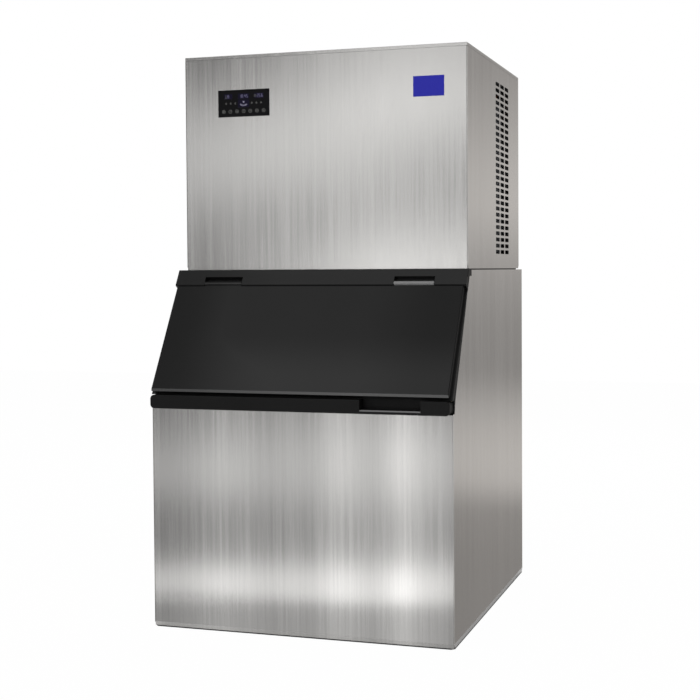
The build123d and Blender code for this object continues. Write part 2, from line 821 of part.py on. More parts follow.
# Evaporator: upright grid of square ice cups, open to the front
cup_depth = 22.0
evaporator_plate = 2.0
evaporator_mid_z = evaporator_low + grid_tall / 2
evaporator_back = evaporator_front + cup_depth + evaporator_plate
with BuildPart() as evaporator_grid:
    with BuildSketch(Plane.XZ.offset(-evaporator_front)):
        with Locations((0, evaporator_mid_z)):
            Rectangle(grid_width, grid_tall)
    extrude(amount=-(cup_depth + evaporator_plate))
    with BuildSketch(Plane.XZ.offset(-evaporator_front)):
        with Locations((0, evaporator_mid_z)):
            with GridLocations(cup_pitch, cup_pitch, cup_columns, cup_rows):
                Rectangle(cup_size, cup_size)
    extrude(amount=-cup_depth, mode=Mode.SUBTRACT)

# Evaporator coil: flattened serpentine tube brazed behind the grid
coil_thick = 6.0
coil_tall = 10.0
coil_rows = 5
coil_half = grid_width / 2 - 30
coil_bend = 20.0
coil_pitch = 2 * coil_bend + 4
coil_y = evaporator_back + coil_thick / 2
coil_points = []
for row in range(coil_rows):
    row_z = evaporator_mid_z + (row - (coil_rows - 1) / 2) * coil_pitch
    ends = (-coil_half, coil_half) if row % 2 == 0 else (coil_half, -coil_half)
    coil_points += [(end, coil_y, row_z) for end in ends]
with BuildPart() as evaporator_coil:
    with BuildLine() as coil_route:
        FilletPolyline(*coil_points, radius=coil_bend)
    with BuildSketch(Plane(origin=coil_points[0], x_dir=(0, 1, 0), z_dir=(1, 0, 0))) as coil_section:
        Rectangle(coil_thick, coil_tall)
    sweep(coil_section.sketch, path=coil_route.line)

# Plastic end frames that carry the grid on the wall and the curtain's pivots
end_frame_thickness = 10.0
end_frame_low = evaporator_low - 20
end_frame_high = evaporator_low + grid_tall + 42
curtain_pivot_y = evaporator_front - 31
curtain_pivot_z = end_frame_high - 12
curtain_pivot_radius = 4.0
end_frame_outline = (
    (wall_y, end_frame_low),
    (evaporator_front - 4, end_frame_low),
    (evaporator_front - 4, end_frame_high - 40),
    (curtain_pivot_y - 10, end_frame_high - 26),
    (curtain_pivot_y - 10, end_frame_high),
    (wall_y, end_frame_high),
)
with BuildPart() as evaporator_end_frames:
    for side in (-1, 1):
        x_pair = sorted((side * grid_width / 2, side * (grid_width / 2 + end_frame_thickness)))
        side_slab(end_frame_outline, *x_pair)
        side_slab(
            (
                (wall_y - 12, end_frame_low + 14),
                (evaporator_back + 8, end_frame_low + 14),
                (evaporator_back + 8, end_frame_high - 50),
                (wall_y - 12, end_frame_high - 50),
            ),
            *x_pair,
            Mode.SUBTRACT,
        )
        rod(
            (x_pair[0] - 1, curtain_pivot_y, curtain_pivot_z),
            (1, 0, 0),
            curtain_pivot_radius + 0.1,
            end_frame_thickness + 2,
            Mode.SUBTRACT,
        )

# Water distributor: trough over the grid with a row of outlet holes
distributor_low = evaporator_low + grid_tall + seat_gap
distributor_tall = 22.0
distributor_front = evaporator_front - 2
distributor_back = evaporator_back + 6
with BuildPart() as water_distributor:
    block(
        (-grid_width / 2, distributor_front, distributor_low),
        (grid_width / 2, distributor_back, distributor_low + distributor_tall),
    )
    chamfer(water_distributor.edges().filter_by(Axis.X).group_by(Axis.Z)[-1], 4)
    block(
        (-grid_width / 2 + 3, distributor_front + 3, distributor_low + 3),
        (grid_width / 2 - 3, distributor_back - 3, distributor_low + distributor_tall - 3),
        Mode.SUBTRACT,
    )
    with BuildSketch(Plane.XY.offset(distributor_low)):
        with Locations((0, distributor_front + 6)):
            with GridLocations(cup_pitch, 1, cup_columns, 1):
                Rectangle(4, 4)
    extrude(amount=3, mode=Mode.SUBTRACT)

# Water curtain: ribbed plastic flap in front of the grid, on two pivots
curtain_half = grid_width / 2 - 2
curtain_low = evaporator_low - 40
curtain_thickness = 2.5
curtain_front = curtain_pivot_y - curtain_thickness / 2
with BuildPart() as water_curtain:
    block(
        (-curtain_half, curtain_front, curtain_low),
        (curtain_half, curtain_front + curtain_thickness, curtain_pivot_z),
    )
    rod((-curtain_half, curtain_pivot_y, curtain_pivot_z), (1, 0, 0), 6, 2 * curtain_half)
    rod(
        (-curtain_half - end_frame_thickness, curtain_pivot_y, curtain_pivot_z),
        (1, 0, 0),
        curtain_pivot_radius - 0.2,
        2 * (curtain_half + end_frame_thickness),
    )
    for rib in range(-3, 4):
        rib_x = rib * curtain_half / 4
        block(
            (rib_x - 1.5, curtain_front - 4, curtain_low + 6),
            (rib_x + 1.5, curtain_front, curtain_pivot_z - 10),
        )

# Water trough under the grid, hung on the compartment wall
trough_side_gap = 41.0
trough_half = head_inner_half - trough_side_gap
trough_front = evaporator_front + 5
trough_low = head_bottom + 85
trough_tall = 58.0
trough_wall = 3.0
with BuildPart() as water_trough:
    trough_outline = (
        (wall_y, trough_low),
        (trough_front + 14, trough_low),
        (trough_front, trough_low + 16),
        (trough_front, trough_low + trough_tall),
        (wall_y, trough_low + trough_tall),
    )
    side_slab(trough_outline, -trough_half, trough_half)
    side_slab(
        (
            (wall_y - trough_wall, trough_low + trough_wall),
            (trough_front + 15.5, trough_low + trough_wall),
            (trough_front + trough_wall, trough_low + 17.5),
            (trough_front + trough_wall, trough_low + trough_tall + 1),
            (wall_y - trough_wall, trough_low + trough_tall + 1),
        ),
        -trough_half + trough_wall,
        trough_half - trough_wall,
        Mode.SUBTRACT,
    )

# Water pump: motor on a bracket over the trough, column and volute down in the water
pump_x = trough_half - 30
pump_y = wall_y - 48
pump_floor = trough_low + trough_wall + 4
volute_tall = 16.0
volute_radius = 22.0
impeller_radius = 17.0
pump_shaft_radius = 3.0
motor_low = trough_low + trough_tall + 22
spigot_length = 16.0
with BuildPart() as water_pump:
    # Volute, open underneath
    rod((pump_x, pump_y, pump_floor), (0, 0, 1), volute_radius, volute_tall)
    rod((pump_x, pump_y, pump_floor - 1), (0, 0, 1), volute_radius - 3, volute_tall - 2, Mode.SUBTRACT)
    # Column up to the motor plate
    rod((pump_x, pump_y, pump_floor + volute_tall), (0, 0, 1), 9, motor_low - pump_floor - volute_tall)
    rod(
        (pump_x, pump_y, pump_floor),
        (0, 0, 1),
        pump_shaft_radius + running_gap,
        motor_low - pump_floor + 10,
        Mode.SUBTRACT,
    )
    # Motor with its bracket to the compartment wall
    rod((pump_x, pump_y, motor_low), (0, 0, 1), 27, 52)
    chamfer(water_pump.faces().sort_by(Axis.Z)[-1].edges(), 5)
    block((pump_x - 24, pump_y, motor_low), (pump_x + 24, wall_y, motor_low + 4))
    block((pump_x - 24, wall_y - 3, motor_low - 14), (pump_x + 24, wall_y, motor_low + 30))
    rod((pump_x, pump_y, motor_low - 1), (0, 0, 1), pump_shaft_radius + running_gap, 16, Mode.SUBTRACT)
    # Outlet spigot from the volute
    rod((pump_x - volute_radius + 4, pump_y, pump_floor + 8), (-1, 0, 0), 6, spigot_length)
    rod(
        (pump_x - volute_radius + 3.5, pump_y, pump_floor + 8),
        (-1, 0, 0),
        4,
        spigot_length,
        Mode.SUBTRACT,
    )

# Pump impeller on its shaft
with BuildPart() as pump_impeller:
    rod((pump_x, pump_y, pump_floor + 2), (0, 0, 1), 6, 9)
    rod((pump_x, pump_y, pump_floor + 2), (0, 0, 1), pump_shaft_radius, motor_low + 12 - pump_floor - 2)
    with BuildSketch(Plane.XY.offset(pump_floor + 3)):
        with Locations((pump_x, pump_y)):
            with PolarLocations(impeller_radius / 2, 6):
                Rectangle(impeller_radius - 1, 2)
    extrude(amount=7)

# Riser hose from the pump to the distributor
riser_radius = 6.0
riser_bend = 10.0
spigot_end = pump_x - volute_radius + 4 - spigot_length
riser_x = spigot_end - 13
riser_top = distributor_low + distributor_tall / 2
with BuildPart() as water_riser:
    tube(
        [
            (spigot_end - seat_gap, pump_y, pump_floor + 8),
            (riser_x, pump_y, pump_floor + 8),
            (riser_x, pump_y, riser_top),
            (grid_width / 2 + end_frame_thickness + seat_gap, pump_y, riser_top),
        ],
        riser_radius,
        riser_bend,
    )

# Float stem on its bracket, and the float that slides on it
float_x = 45 - trough_half
float_y = pump_y
float_stem_radius = 3.0
float_travel = 12.0
float_radius = 13.0
float_collar = 5.5
float_tall = 16.0
float_low = trough_low + trough_wall + 12
with BuildPart() as float_switch:
    rod((float_x, float_y, float_low - 6), (0, 0, 1), float_stem_radius, trough_tall + 26)
    for collar_z in (float_low - 6, float_low + float_tall + float_travel + 2):
        block(
            (float_x - float_collar, float_y - float_collar, collar_z),
            (float_x + float_collar, float_y + float_collar, collar_z + 3),
        )
    bracket_z = trough_low + trough_tall + 14
    block((float_x - 10, float_y - 10, bracket_z), (float_x + 10, wall_y, bracket_z + 3))
    block((float_x - 10, wall_y - 3, bracket_z - 12), (float_x + 10, wall_y, bracket_z + 20))
with BuildPart() as float_ball:
    rod((float_x, float_y, float_low), (0, 0, 1), float_radius, float_tall)
    chamfer(float_ball.edges().group_by(Axis.Z)[-1], 3)
    chamfer(float_ball.edges().group_by(Axis.Z)[0], 3)
    rod(
        (float_x, float_y, float_low - 1),
        (0, 0, 1),
        float_stem_radius + 0.4,
        float_tall + 2,
        Mode.SUBTRACT,
    )

# Ice thickness probe: bracket on the distributor and a hanging finger on a pin
probe_x = 150.0
probe_pivot_y = distributor_front - 8
probe_pivot_z = distributor_low + distributor_tall - 6
with BuildPart() as probe_bracket:
    for side in (-1, 1):
        x_pair = sorted((probe_x + side * 8, probe_x + side * 10.5))
        block(
            (x_pair[0], probe_pivot_y - 5, probe_pivot_z - 5),
            (x_pair[1], distributor_front, probe_pivot_z + 5),
        )
    block(
        (probe_x - 10.5, distributor_front - 1.5, probe_pivot_z - 5),
        (probe_x + 10.5, distributor_front, probe_pivot_z + 5),
    )
    rod((probe_x - 10.5, probe_pivot_y, probe_pivot_z), (1, 0, 0), 1.5, 21)
with BuildPart() as thickness_probe:
    rod((probe_x - 7.5, probe_pivot_y, probe_pivot_z), (1, 0, 0), 3.5, 15)
    block(
        (probe_x - 7.5, probe_pivot_y - 1.2, probe_pivot_z - 62),
        (probe_x + 7.5, probe_pivot_y + 1.2, probe_pivot_z),
    )
    block(
        (probe_x - 2, probe_pivot_y, probe_pivot_z - 62),
        (probe_x + 2, probe_pivot_y + 5, probe_pivot_z - 58),
    )
    rod((probe_x - 9, probe_pivot_y, probe_pivot_z), (1, 0, 0), 1.56, 18, Mode.SUBTRACT)

# Compressor: welded can on a base plate with four rubber feet
compressor_x = -70.0
compressor_y = back_y - 165
can_radius = 85.0
can_tall = 196.0
foot_spacing = 170.0
foot_tall = 16.0
foot_radius = 12.0
plate_z = head_floor + foot_tall
with BuildPart() as compressor:
    with BuildSketch(Plane.XY.offset(plate_z)):
        with Locations((compressor_x, compressor_y)):
            Rectangle(foot_spacing + 34, foot_spacing + 34)
    extrude(amount=4)
    rod((compressor_x, compressor_y, plate_z + 4), (0, 0, 1), can_radius, can_tall)
    fillet(compressor.faces().sort_by(Axis.Z)[-1].edges(), 34)
    rod((compressor_x, compressor_y, plate_z + 96), (0, 0, 1), can_radius + 4, 7)
    block(
        (compressor_x - 26, compressor_y - can_radius - 18, plate_z + 50),
        (compressor_x + 26, compressor_y - can_radius + 15, plate_z + 88),
    )
with BuildPart() as compressor_feet:
    with BuildSketch(Plane.XY.offset(head_floor)):
        with Locations((compressor_x, compressor_y)):
            with GridLocations(foot_spacing, foot_spacing, 2, 2):
                Circle(foot_radius)
    extrude(amount=foot_tall)

# Condenser: upright finned coil behind the right side's slots
condenser_side_gap = 27.0
condenser_thick = 44.0
condenser_back = 215.0
condenser_width = 236.0
condenser_lift = 45.0
condenser_top_room = 81.0
fin_count = 32
fin_thickness = 0.8
fin_core = 12.0
condenser_rows = 4
condenser_tube_radius = 4.5
return_out = 8.0
end_plate = 2.0
condenser_inner = head_inner_half - condenser_side_gap - condenser_thick
condenser_centre_y = back_y - condenser_back
condenser_low = head_bottom + condenser_lift
condenser_tall = head_height - condenser_lift - condenser_top_room
condenser_mid_x = condenser_inner + condenser_thick / 2
condenser_start = condenser_centre_y - condenser_width / 2
condenser_end = condenser_start + condenser_width
row_heights = [
    condenser_low + (row + 0.5) * condenser_tall / condenser_rows for row in range(condenser_rows)
]
with BuildPart() as condenser_coil:
    # Fins on both sides of the core that holds the tube rows
    with BuildSketch(Plane.XY.offset(condenser_low)):
        with Locations((condenser_mid_x, condenser_centre_y)):
            Rectangle(fin_core, condenser_width)
            with GridLocations(1, condenser_width / (fin_count + 1), 1, fin_count):
                Rectangle(condenser_thick, fin_thickness)
    extrude(amount=condenser_tall)
    # Tube sheets at both ends, down to the base pan
    for end_y in (condenser_start, condenser_end - end_plate):
        block(
            (condenser_inner, end_y, head_floor),
            (condenser_inner + condenser_thick, end_y + end_plate, condenser_low + condenser_tall + 6),
        )
    # Return bends, and the two stubs at the back
    for row in range(condenser_rows - 1):
        end_y, out_y = (
            (condenser_start + 1, condenser_start - return_out)
            if row % 2 == 0
            else (condenser_end - 1, condenser_end + return_out)
        )
        tube(
            [
                (condenser_mid_x, end_y, row_heights[row]),
                (condenser_mid_x, out_y, row_heights[row]),
                (condenser_mid_x, out_y, row_heights[row + 1]),
                (condenser_mid_x, end_y, row_heights[row + 1]),
            ],
            condenser_tube_radius,
            return_out,
        )
    for row_z in (row_heights[0], row_heights[-1]):
        rod(
            (condenser_mid_x, condenser_end - 1, row_z),
            (0, 1, 0),
            condenser_tube_radius,
            return_out + 1,
        )

# Fan shroud: shallow box against the coil with the fan's ring
fan_z = condenser_low + condenser_tall / 2
fan_y = condenser_centre_y
fan_radius = 104.0
ring_gap = 5.0
shroud_depth = 36.0
shroud_x = condenser_inner - shroud_depth
with BuildPart() as fan_shroud:
    block(
        (shroud_x, condenser_start, condenser_low),
        (condenser_inner - seat_gap, condenser_end, condenser_low + condenser_tall),
    )
    block(
        (shroud_x + 1.5, condenser_start + 1.5, condenser_low + 1.5),
        (condenser_inner + 1, condenser_end - 1.5, condenser_low + condenser_tall - 1.5),
        Mode.SUBTRACT,
    )
    rod((shroud_x, fan_y, fan_z), (1, 0, 0), fan_radius + ring_gap + 2, 20)
    rod((shroud_x - 1, fan_y, fan_z), (1, 0, 0), fan_radius + ring_gap, 24, Mode.SUBTRACT)
    # Foot flange down to the base pan
    block(
        (shroud_x, condenser_start, head_floor),
        (shroud_x + 1.5, condenser_end, condenser_low + 2),
    )

# Fan motor on a three-arm bracket
motor_radius = 38.0
motor_length = 58.0
motor_face = shroud_x - 14
bracket_arms = 3
arm_reach = fan_radius + ring_gap + 10
with BuildPart() as fan_motor:
    rod((motor_face, fan_y, fan_z), (-1, 0, 0), motor_radius, motor_length)
    chamfer(fan_motor.faces().sort_by(Axis.X)[0].edges(), 8)
    with BuildSketch(Plane.YZ.offset(motor_face - 3)):
        with Locations((fan_y, fan_z)):
            with PolarLocations(arm_reach / 2 + 10, bracket_arms, start_angle=90):
                Rectangle(arm_reach - 20, 14)
    extrude(amount=3)
    for arm in range(bracket_arms):
        turn = radians(90 + arm * 360 / bracket_arms)
        post_y = fan_y + (arm_reach - 5) * cos(turn)
        post_z = fan_z + (arm_reach - 5) * sin(turn)
        block((motor_face - 3, post_y - 5, post_z - 5), (shroud_x, post_y + 5, post_z + 5))
    rod((motor_face + 1, fan_y, fan_z), (-1, 0, 0), 4.1, 12, Mode.SUBTRACT)

# Fan: hub with five pitched blades on the motor's shaft
blade_count = 5
hub_radius = 24.0
blade_pitch_angle = 28.0
with BuildPart() as fan_blade:
    rod((motor_face + 4, fan_y, fan_z), (1, 0, 0), hub_radius, 20)
    chamfer(fan_blade.faces().sort_by(Axis.X)[-1].edges(), 5)
    rod((motor_face - 9, fan_y, fan_z), (1, 0, 0), 4, 16)
    blade_middle = motor_face + 15
    for blade in range(blade_count):
        turn = blade * 360 / blade_count
        outward = (0, cos(radians(turn)), sin(radians(turn)))
        root_plane = Plane(origin=(blade_middle, fan_y, fan_z), x_dir=(1, 0, 0), z_dir=outward)
        with BuildSketch(root_plane.offset(hub_radius - 4)) as blade_root:
            with Locations(Rotation(0, 0, 90 - blade_pitch_angle - 12)):
                Rectangle(34, 2.4)
        with BuildSketch(root_plane.offset(fan_radius)) as blade_tip:
            with Locations(Rotation(0, 0, 90 - blade_pitch_angle + 8)):
                Rectangle(56, 2)
        loft(sections=[blade_root.sketch, blade_tip.sketch])

# Filter drier clipped to the compartment wall
drier_x = 190.0
drier_y = wall_y + wall_thickness + 24
drier_low = head_bottom + 80
drier_radius = 18.0
drier_length = 120.0
with BuildPart() as filter_drier:
    rod((drier_x, drier_y, drier_low), (0, 0, 1), drier_radius, drier_length)
    chamfer(filter_drier.edges().filter_by(GeomType.CIRCLE), 7)
    rod((drier_x, drier_y, drier_low - 12), (0, 0, 1), 4, drier_length + 24)
    block(
        (drier_x - 6, wall_y + wall_thickness, drier_low + drier_length / 2 - 10),
        (drier_x + 6, drier_y - drier_radius + 2, drier_low + drier_length / 2 + 10),
    )

# Suction accumulator standing on the base pan
accumulator_x = -230.0
accumulator_y = compressor_y
accumulator_radius = 32.0
accumulator_tall = 170.0
with BuildPart() as suction_accumulator:
    rod(
        (accumulator_x, accumulator_y, head_floor + 12),
        (0, 0, 1),
        accumulator_radius,
        accumulator_tall,
    )
    chamfer(suction_accumulator.edges().filter_by(GeomType.CIRCLE), 12)
    block(
        (accumulator_x - 14, accumulator_y - 14, head_floor),
        (accumulator_x + 14, accumulator_y + 14, head_floor + 13),
    )

# Hot gas valve: brass body with its coil, on a clip at the compartment wall
valve_x = 110.0
valve_y = wall_y + wall_thickness + 26
valve_z = head_bottom + 130
with BuildPart() as hot_gas_valve:
    rod((valve_x, valve_y, valve_z - 22), (0, 0, 1), 9, 44)
    block((valve_x - 17, valve_y - 15, valve_z - 2), (valve_x + 17, valve_y + 15, valve_z + 30))
    block(
        (valve_x - 6, wall_y + wall_thickness, valve_z + 4),
        (valve_x + 6, valve_y - 15, valve_z + 22),
    )

# Refrigerant tubes: discharge, liquid, hot gas and suction lines
tube_radius = 4.0
tube_bend = 16.0
top_of_compressor = plate_z + 4 + can_tall
port_y = condenser_end + return_out + seat_gap
run_y = port_y + 20
run_low = head_floor + 16
run_high = condenser_low + condenser_tall + 32
with BuildPart() as refrigerant_tubes:
    # Discharge line from the can to the coil's top row
    tube(
        [
            (compressor_x + 30, compressor_y, top_of_compressor + seat_gap),
            (compressor_x + 30, compressor_y, run_high),
            (condenser_mid_x, compressor_y, run_high),
            (condenser_mid_x, run_y, run_high),
            (condenser_mid_x, run_y, row_heights[-1]),
            (condenser_mid_x, port_y, row_heights[-1]),
        ],
        tube_radius,
        tube_bend,
    )
    # Liquid line from the coil's bottom row to the drier
    tube(
        [
            (condenser_mid_x, port_y, row_heights[0]),
            (condenser_mid_x, run_y, row_heights[0]),
            (condenser_mid_x, run_y, run_low),
            (drier_x, run_y, run_low),
            (drier_x, drier_y, run_low),
            (drier_x, drier_y, drier_low - 12 - seat_gap),
        ],
        tube_radius,
        tube_bend,
    )
    # Suction line from the accumulator to the can
    tube(
        [
            (accumulator_x, accumulator_y, head_floor + 12 + accumulator_tall + seat_gap),
            (accumulator_x, accumulator_y, top_of_compressor + 50),
            (compressor_x - 30, compressor_y, top_of_compressor + 50),
            (compressor_x - 30, compressor_y, top_of_compressor + seat_gap),
        ],
        tube_radius,
        tube_bend,
    )
    # Hot gas line from the valve to the wall in front of it
    tube(
        [
            (valve_x, valve_y, valve_z - 22 - seat_gap),
            (valve_x, valve_y, valve_z - 62),
            (valve_x, wall_y + wall_thickness + seat_gap, valve_z - 62),
        ],
        tube_radius,
        tube_bend,
    )

# Control box with its lid, on the compartment wall
box_low = (-150.0, wall_y + wall_thickness, head_top - 246)
box_high = (120.0, wall_y + wall_thickness + 94, head_top - 36)
with BuildPart() as control_box:
    block(box_low, box_high)
    block(
        (box_low[0] + 2, box_low[1] + 2, box_low[2] + 2),
        (box_high[0] - 2, box_high[1] + 1, box_high[2] - 2),
        Mode.SUBTRACT,
    )
with BuildPart() as control_box_lid:
    block(
        (box_low[0] - 1, box_high[1], box_low[2] - 1),
        (box_high[0] + 1, box_high[1] + 1.5, box_high[2] + 1),
    )
with BuildPart() as control_main_board:
    block(
        (box_low[0] + 15, box_low[1] + 10, box_low[2] + 15),
        (box_high[0] - 15, box_low[1] + 11.6, box_high[2] - 15),
    )
    for corner_x in (box_low[0] + 25, box_high[0] - 25):
        for corner_z in (box_low[2] + 25, box_high[2] - 25):
            block(
                (corner_x - 3, box_low[1] + 2, corner_z - 3),
                (corner_x + 3, box_low[1] + 10, corner_z + 3),
            )
    for relay in range(4):
        relay_x = box_low[0] + 50 + relay * 40
        block(
            (relay_x - 9, box_low[1] + 11.6, box_low[2] + 40),
            (relay_x + 9, box_low[1] + 28, box_low[2] + 66),
        )
    block(
        (box_low[0] + 60, box_low[1] + 11.6, box_high[2] - 80),
        (box_low[0] + 130, box_low[1] + 46, box_high[2] - 30),
    )

# Water inlet valve with its threaded stub through the back, dump drain, and cord gland
inlet_stub = 26.0
locknut_thick = 5.0
with BuildPart() as water_inlet_valve:
    rod((inlet_x, back_y - 40, inlet_z), (0, 1, 0), inlet_radius, 40 + inlet_stub)
    rod((inlet_x, back_y - sheet - seat_gap - 6, inlet_z), (0, 1, 0), 20, 6)
    rod((inlet_x, back_y, inlet_z), (0, 1, 0), inlet_radius + 5, locknut_thick)
    rod((inlet_x, back_y + inlet_stub - 16, inlet_z), (0, 1, 0), inlet_radius - 3.5, 18, Mode.SUBTRACT)
    block((inlet_x - 18, back_y - 76, inlet_z - 18), (inlet_x + 18, back_y - 38, inlet_z + 18))
    rod((inlet_x, back_y - 57, inlet_z + 18), (0, 0, 1), 16, 34)
with BuildPart() as dump_drain_stub:
    rod((dump_x, back_y - 30, dump_z), (0, 1, 0), dump_radius, 30 + inlet_stub)
    rod((dump_x, back_y - sheet - seat_gap - 5, dump_z), (0, 1, 0), 17, 5)
    rod((dump_x, back_y, dump_z), (0, 1, 0), dump_radius + 5, locknut_thick)
    rod((dump_x, back_y - 31, dump_z), (0, 1, 0), dump_radius - 2.5, 32 + inlet_stub, Mode.SUBTRACT)
with BuildPart() as cord_gland:
    rod((gland_x, back_y - 14, gland_z), (0, 1, 0), gland_radius, 24)
    rod((gland_x, back_y + seat_gap / 3, gland_z), (0, 1, 0), gland_radius + 4, 5)
    rod((gland_x, back_y - 15, gland_z), (0, 1, 0), 4.5, 30, Mode.SUBTRACT)

pieces = {
    "base_pan": base_pan,
    "bin_left_panel": bin_left_panel,
    "bin_right_panel": bin_right_panel,
    "bin_front_panel": bin_front_panel,
    "bin_back_panel": bin_back_panel,
    "bin_insulation": bin_insulation,
    "bin_liner": bin_liner,
    "bin_top_rim": bin_top_rim,
    "bin_drain_fitting": bin_drain_fitting,
    "drain_strainer": drain_strainer,
    "ice_level_sensor": ice_level_sensor,
    "door_frame": door_frame,
    "door_hinge_pins": door_hinge_pins,
    "head_gasket": head_gasket,
    "door_shell": door_shell,
    "door_inner_panel": door_inner_panel,
    "door_foam": door_foam,
    "door_gasket": door_gasket,
    "head_base_pan": head_base_pan,
    "head_left_panel": head_left_panel,
    "head_right_panel": head_right_panel,
    "head_front_panel": head_front_panel,
    "head_top_cover": head_top_cover,
    "head_back_panel": head_back_panel,
    "control_panel": control_panel,
    "control_board": control_board,
    "badge_plate": badge_plate,
    "compartment_wall": compartment_wall,
    "evaporator_grid": evaporator_grid,
    "evaporator_coil": evaporator_coil,
    "evaporator_end_frames": evaporator_end_frames,
    "water_distributor": water_distributor,
    "water_curtain": water_curtain,
    "water_trough": water_trough,
    "water_pump": water_pump,
    "pump_impeller": pump_impeller,
    "water_riser": water_riser,
    "float_switch": float_switch,
    "float_ball": float_ball,
    "probe_bracket": probe_bracket,
    "thickness_probe": thickness_probe,
    "compressor": compressor,
    "compressor_feet": compressor_feet,
    "condenser_coil": condenser_coil,
    "fan_shroud": fan_shroud,
    "fan_motor": fan_motor,
    "fan_blade": fan_blade,
    "filter_drier": filter_drier,
    "suction_accumulator": suction_accumulator,
    "hot_gas_valve": hot_gas_valve,
    "refrigerant_tubes": refrigerant_tubes,
    "control_box": control_box,
    "control_box_lid": control_box_lid,
    "control_main_board": control_main_board,
    "water_inlet_valve": water_inlet_valve,
    "dump_drain_stub": dump_drain_stub,
    "cord_gland": cord_gland,
}
for label, piece in pieces.items():
    piece.part.label = label
    export_step(piece.part, f"parts/{label}.step")
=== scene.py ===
import json
from itertools import pairwise
from math import cos, pi, radians, sin

import bmesh
import bpy
from mathutils import Matrix, Vector


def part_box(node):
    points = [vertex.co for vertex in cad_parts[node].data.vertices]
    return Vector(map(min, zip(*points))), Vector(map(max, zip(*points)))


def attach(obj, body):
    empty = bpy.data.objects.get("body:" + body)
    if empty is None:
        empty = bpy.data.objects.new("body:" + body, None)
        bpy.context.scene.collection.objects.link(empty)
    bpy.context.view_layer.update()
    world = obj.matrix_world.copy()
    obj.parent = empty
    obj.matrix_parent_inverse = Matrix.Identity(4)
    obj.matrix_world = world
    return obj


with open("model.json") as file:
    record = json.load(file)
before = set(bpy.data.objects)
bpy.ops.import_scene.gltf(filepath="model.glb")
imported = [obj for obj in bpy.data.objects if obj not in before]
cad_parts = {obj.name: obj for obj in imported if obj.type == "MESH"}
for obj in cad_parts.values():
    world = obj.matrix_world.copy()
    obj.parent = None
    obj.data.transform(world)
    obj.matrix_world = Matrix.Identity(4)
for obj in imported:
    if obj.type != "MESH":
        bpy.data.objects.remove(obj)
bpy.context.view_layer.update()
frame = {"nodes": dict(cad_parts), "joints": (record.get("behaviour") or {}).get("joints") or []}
nodes = frame["nodes"]


class Signal:
    """A shader socket that takes part in Python expressions; each operator adds a Math node."""

    def __init__(self, tree, socket=None):
        self.tree = tree
        self.socket = socket

    def node(self, kind, settings=None, sockets=None, output=0):
        """Any other node: its settings first, then the values or links of its sockets."""
        made = self.tree.nodes.new(kind)
        for name, value in (settings or {}).items():
            setattr(made, name, value)
        for name, value in (sockets or {}).items():
            if isinstance(value, Signal):
                self.tree.links.new(value.socket, made.inputs[name])
            else:
                made.inputs[name].default_value = value
        return Signal(self.tree, made.outputs[output] if made.outputs else None)

    def math(self, operation, *values):
        """A Math node on values or links."""
        return self.node("ShaderNodeMath", {"operation": operation}, dict(enumerate(values)))

    def __add__(self, other):
        return self.math("ADD", self, other)

    def __sub__(self, other):
        return self.math("SUBTRACT", self, other)

    def __rsub__(self, other):
        return self.math("SUBTRACT", other, self)

    def __mul__(self, other):
        return self.math("MULTIPLY", self, other)

    def __gt__(self, other):
        return self.math("GREATER_THAN", self, other)

    def __lt__(self, other):
        return self.math("LESS_THAN", self, other)

    def __abs__(self):
        return self.math("ABSOLUTE", self)

    __radd__ = __add__
    __rmul__ = __mul__

    def larger(self, other):
        """The larger of two values."""
        return self.math("MAXIMUM", self, other)

    def rise(self, start, end):
        """0 at start, 1 at end, smooth between and level beyond; end may be the lower value."""
        settings = {"interpolation_type": "SMOOTHSTEP"}
        return self.node("ShaderNodeMapRange", settings, {"Value": self, "From Min": start, "From Max": end})


def grey(level):
    return (level, level, level)


def scaled(values, share):
    """A colour or a stretch with each part multiplied by a share."""
    return tuple(value * share for value in values)


def blend(share, first, second):
    """Mixes two colours, each a link or an (r, g, b), by a value."""
    factor_input, first_input, second_input, colour_output = 0, 6, 7, 2
    colours = [colour if isinstance(colour, Signal) else (*colour, 1) for colour in (first, second)]
    sockets = {factor_input: share, first_input: colours[0], second_input: colours[1]}
    return share.node("ShaderNodeMix", {"data_type": "RGBA"}, sockets, colour_output)


def start_material(name):
    """An empty material, and a signal that adds its nodes."""
    material = bpy.data.materials.new(name)
    material.use_nodes = True
    material.node_tree.nodes.clear()
    return material, Signal(material.node_tree)


def use_surface(shader, output_kind="ShaderNodeOutputMaterial"):
    """Links a shader to the output of its node tree."""
    shader.node(output_kind, None, {"Surface": shader})


def coordinate(signal, axis):
    """One of the object coordinates, in metres."""
    where = signal.node("ShaderNodeTexCoord", output="Object")
    return signal.node("ShaderNodeSeparateXYZ", None, {"Vector": where}, axis)


def facing(signal, axis):
    """How much the surface faces along an axis, from -1 to 1."""
    normal = signal.node("ShaderNodeTexCoord", output="Normal")
    return signal.node("ShaderNodeSeparateXYZ", None, {"Vector": normal}, axis)


def between(value, low, high):
    """1 where a value lies between two limits."""
    return (value > low) * (value < high)


def noise(signal, scale=1.0, stretch=(1, 1, 1), detail=2.0, rough=0.5):
    """Noise over the object coordinates; stretch is how much finer it is along each axis."""
    where = signal.node("ShaderNodeTexCoord", output="Object")
    stretched = signal.node("ShaderNodeMapping", None, {"Vector": where, "Scale": stretch})
    sockets = {"Vector": stretched, "Scale": scale, "Detail": detail, "Roughness": rough}
    return signal.node("ShaderNodeTexNoise", None, sockets)


def bump(height, strength, distance):
    sockets = {"Height": height, "Strength": strength, "Distance": distance}
    return height.node("ShaderNodeBump", None, sockets)


steel_tone = (0.655, 0.646, 0.632)
upright_grain = (900, 420, 9)
cover_grain = (900, 9, 900)
millimetre = 0.001


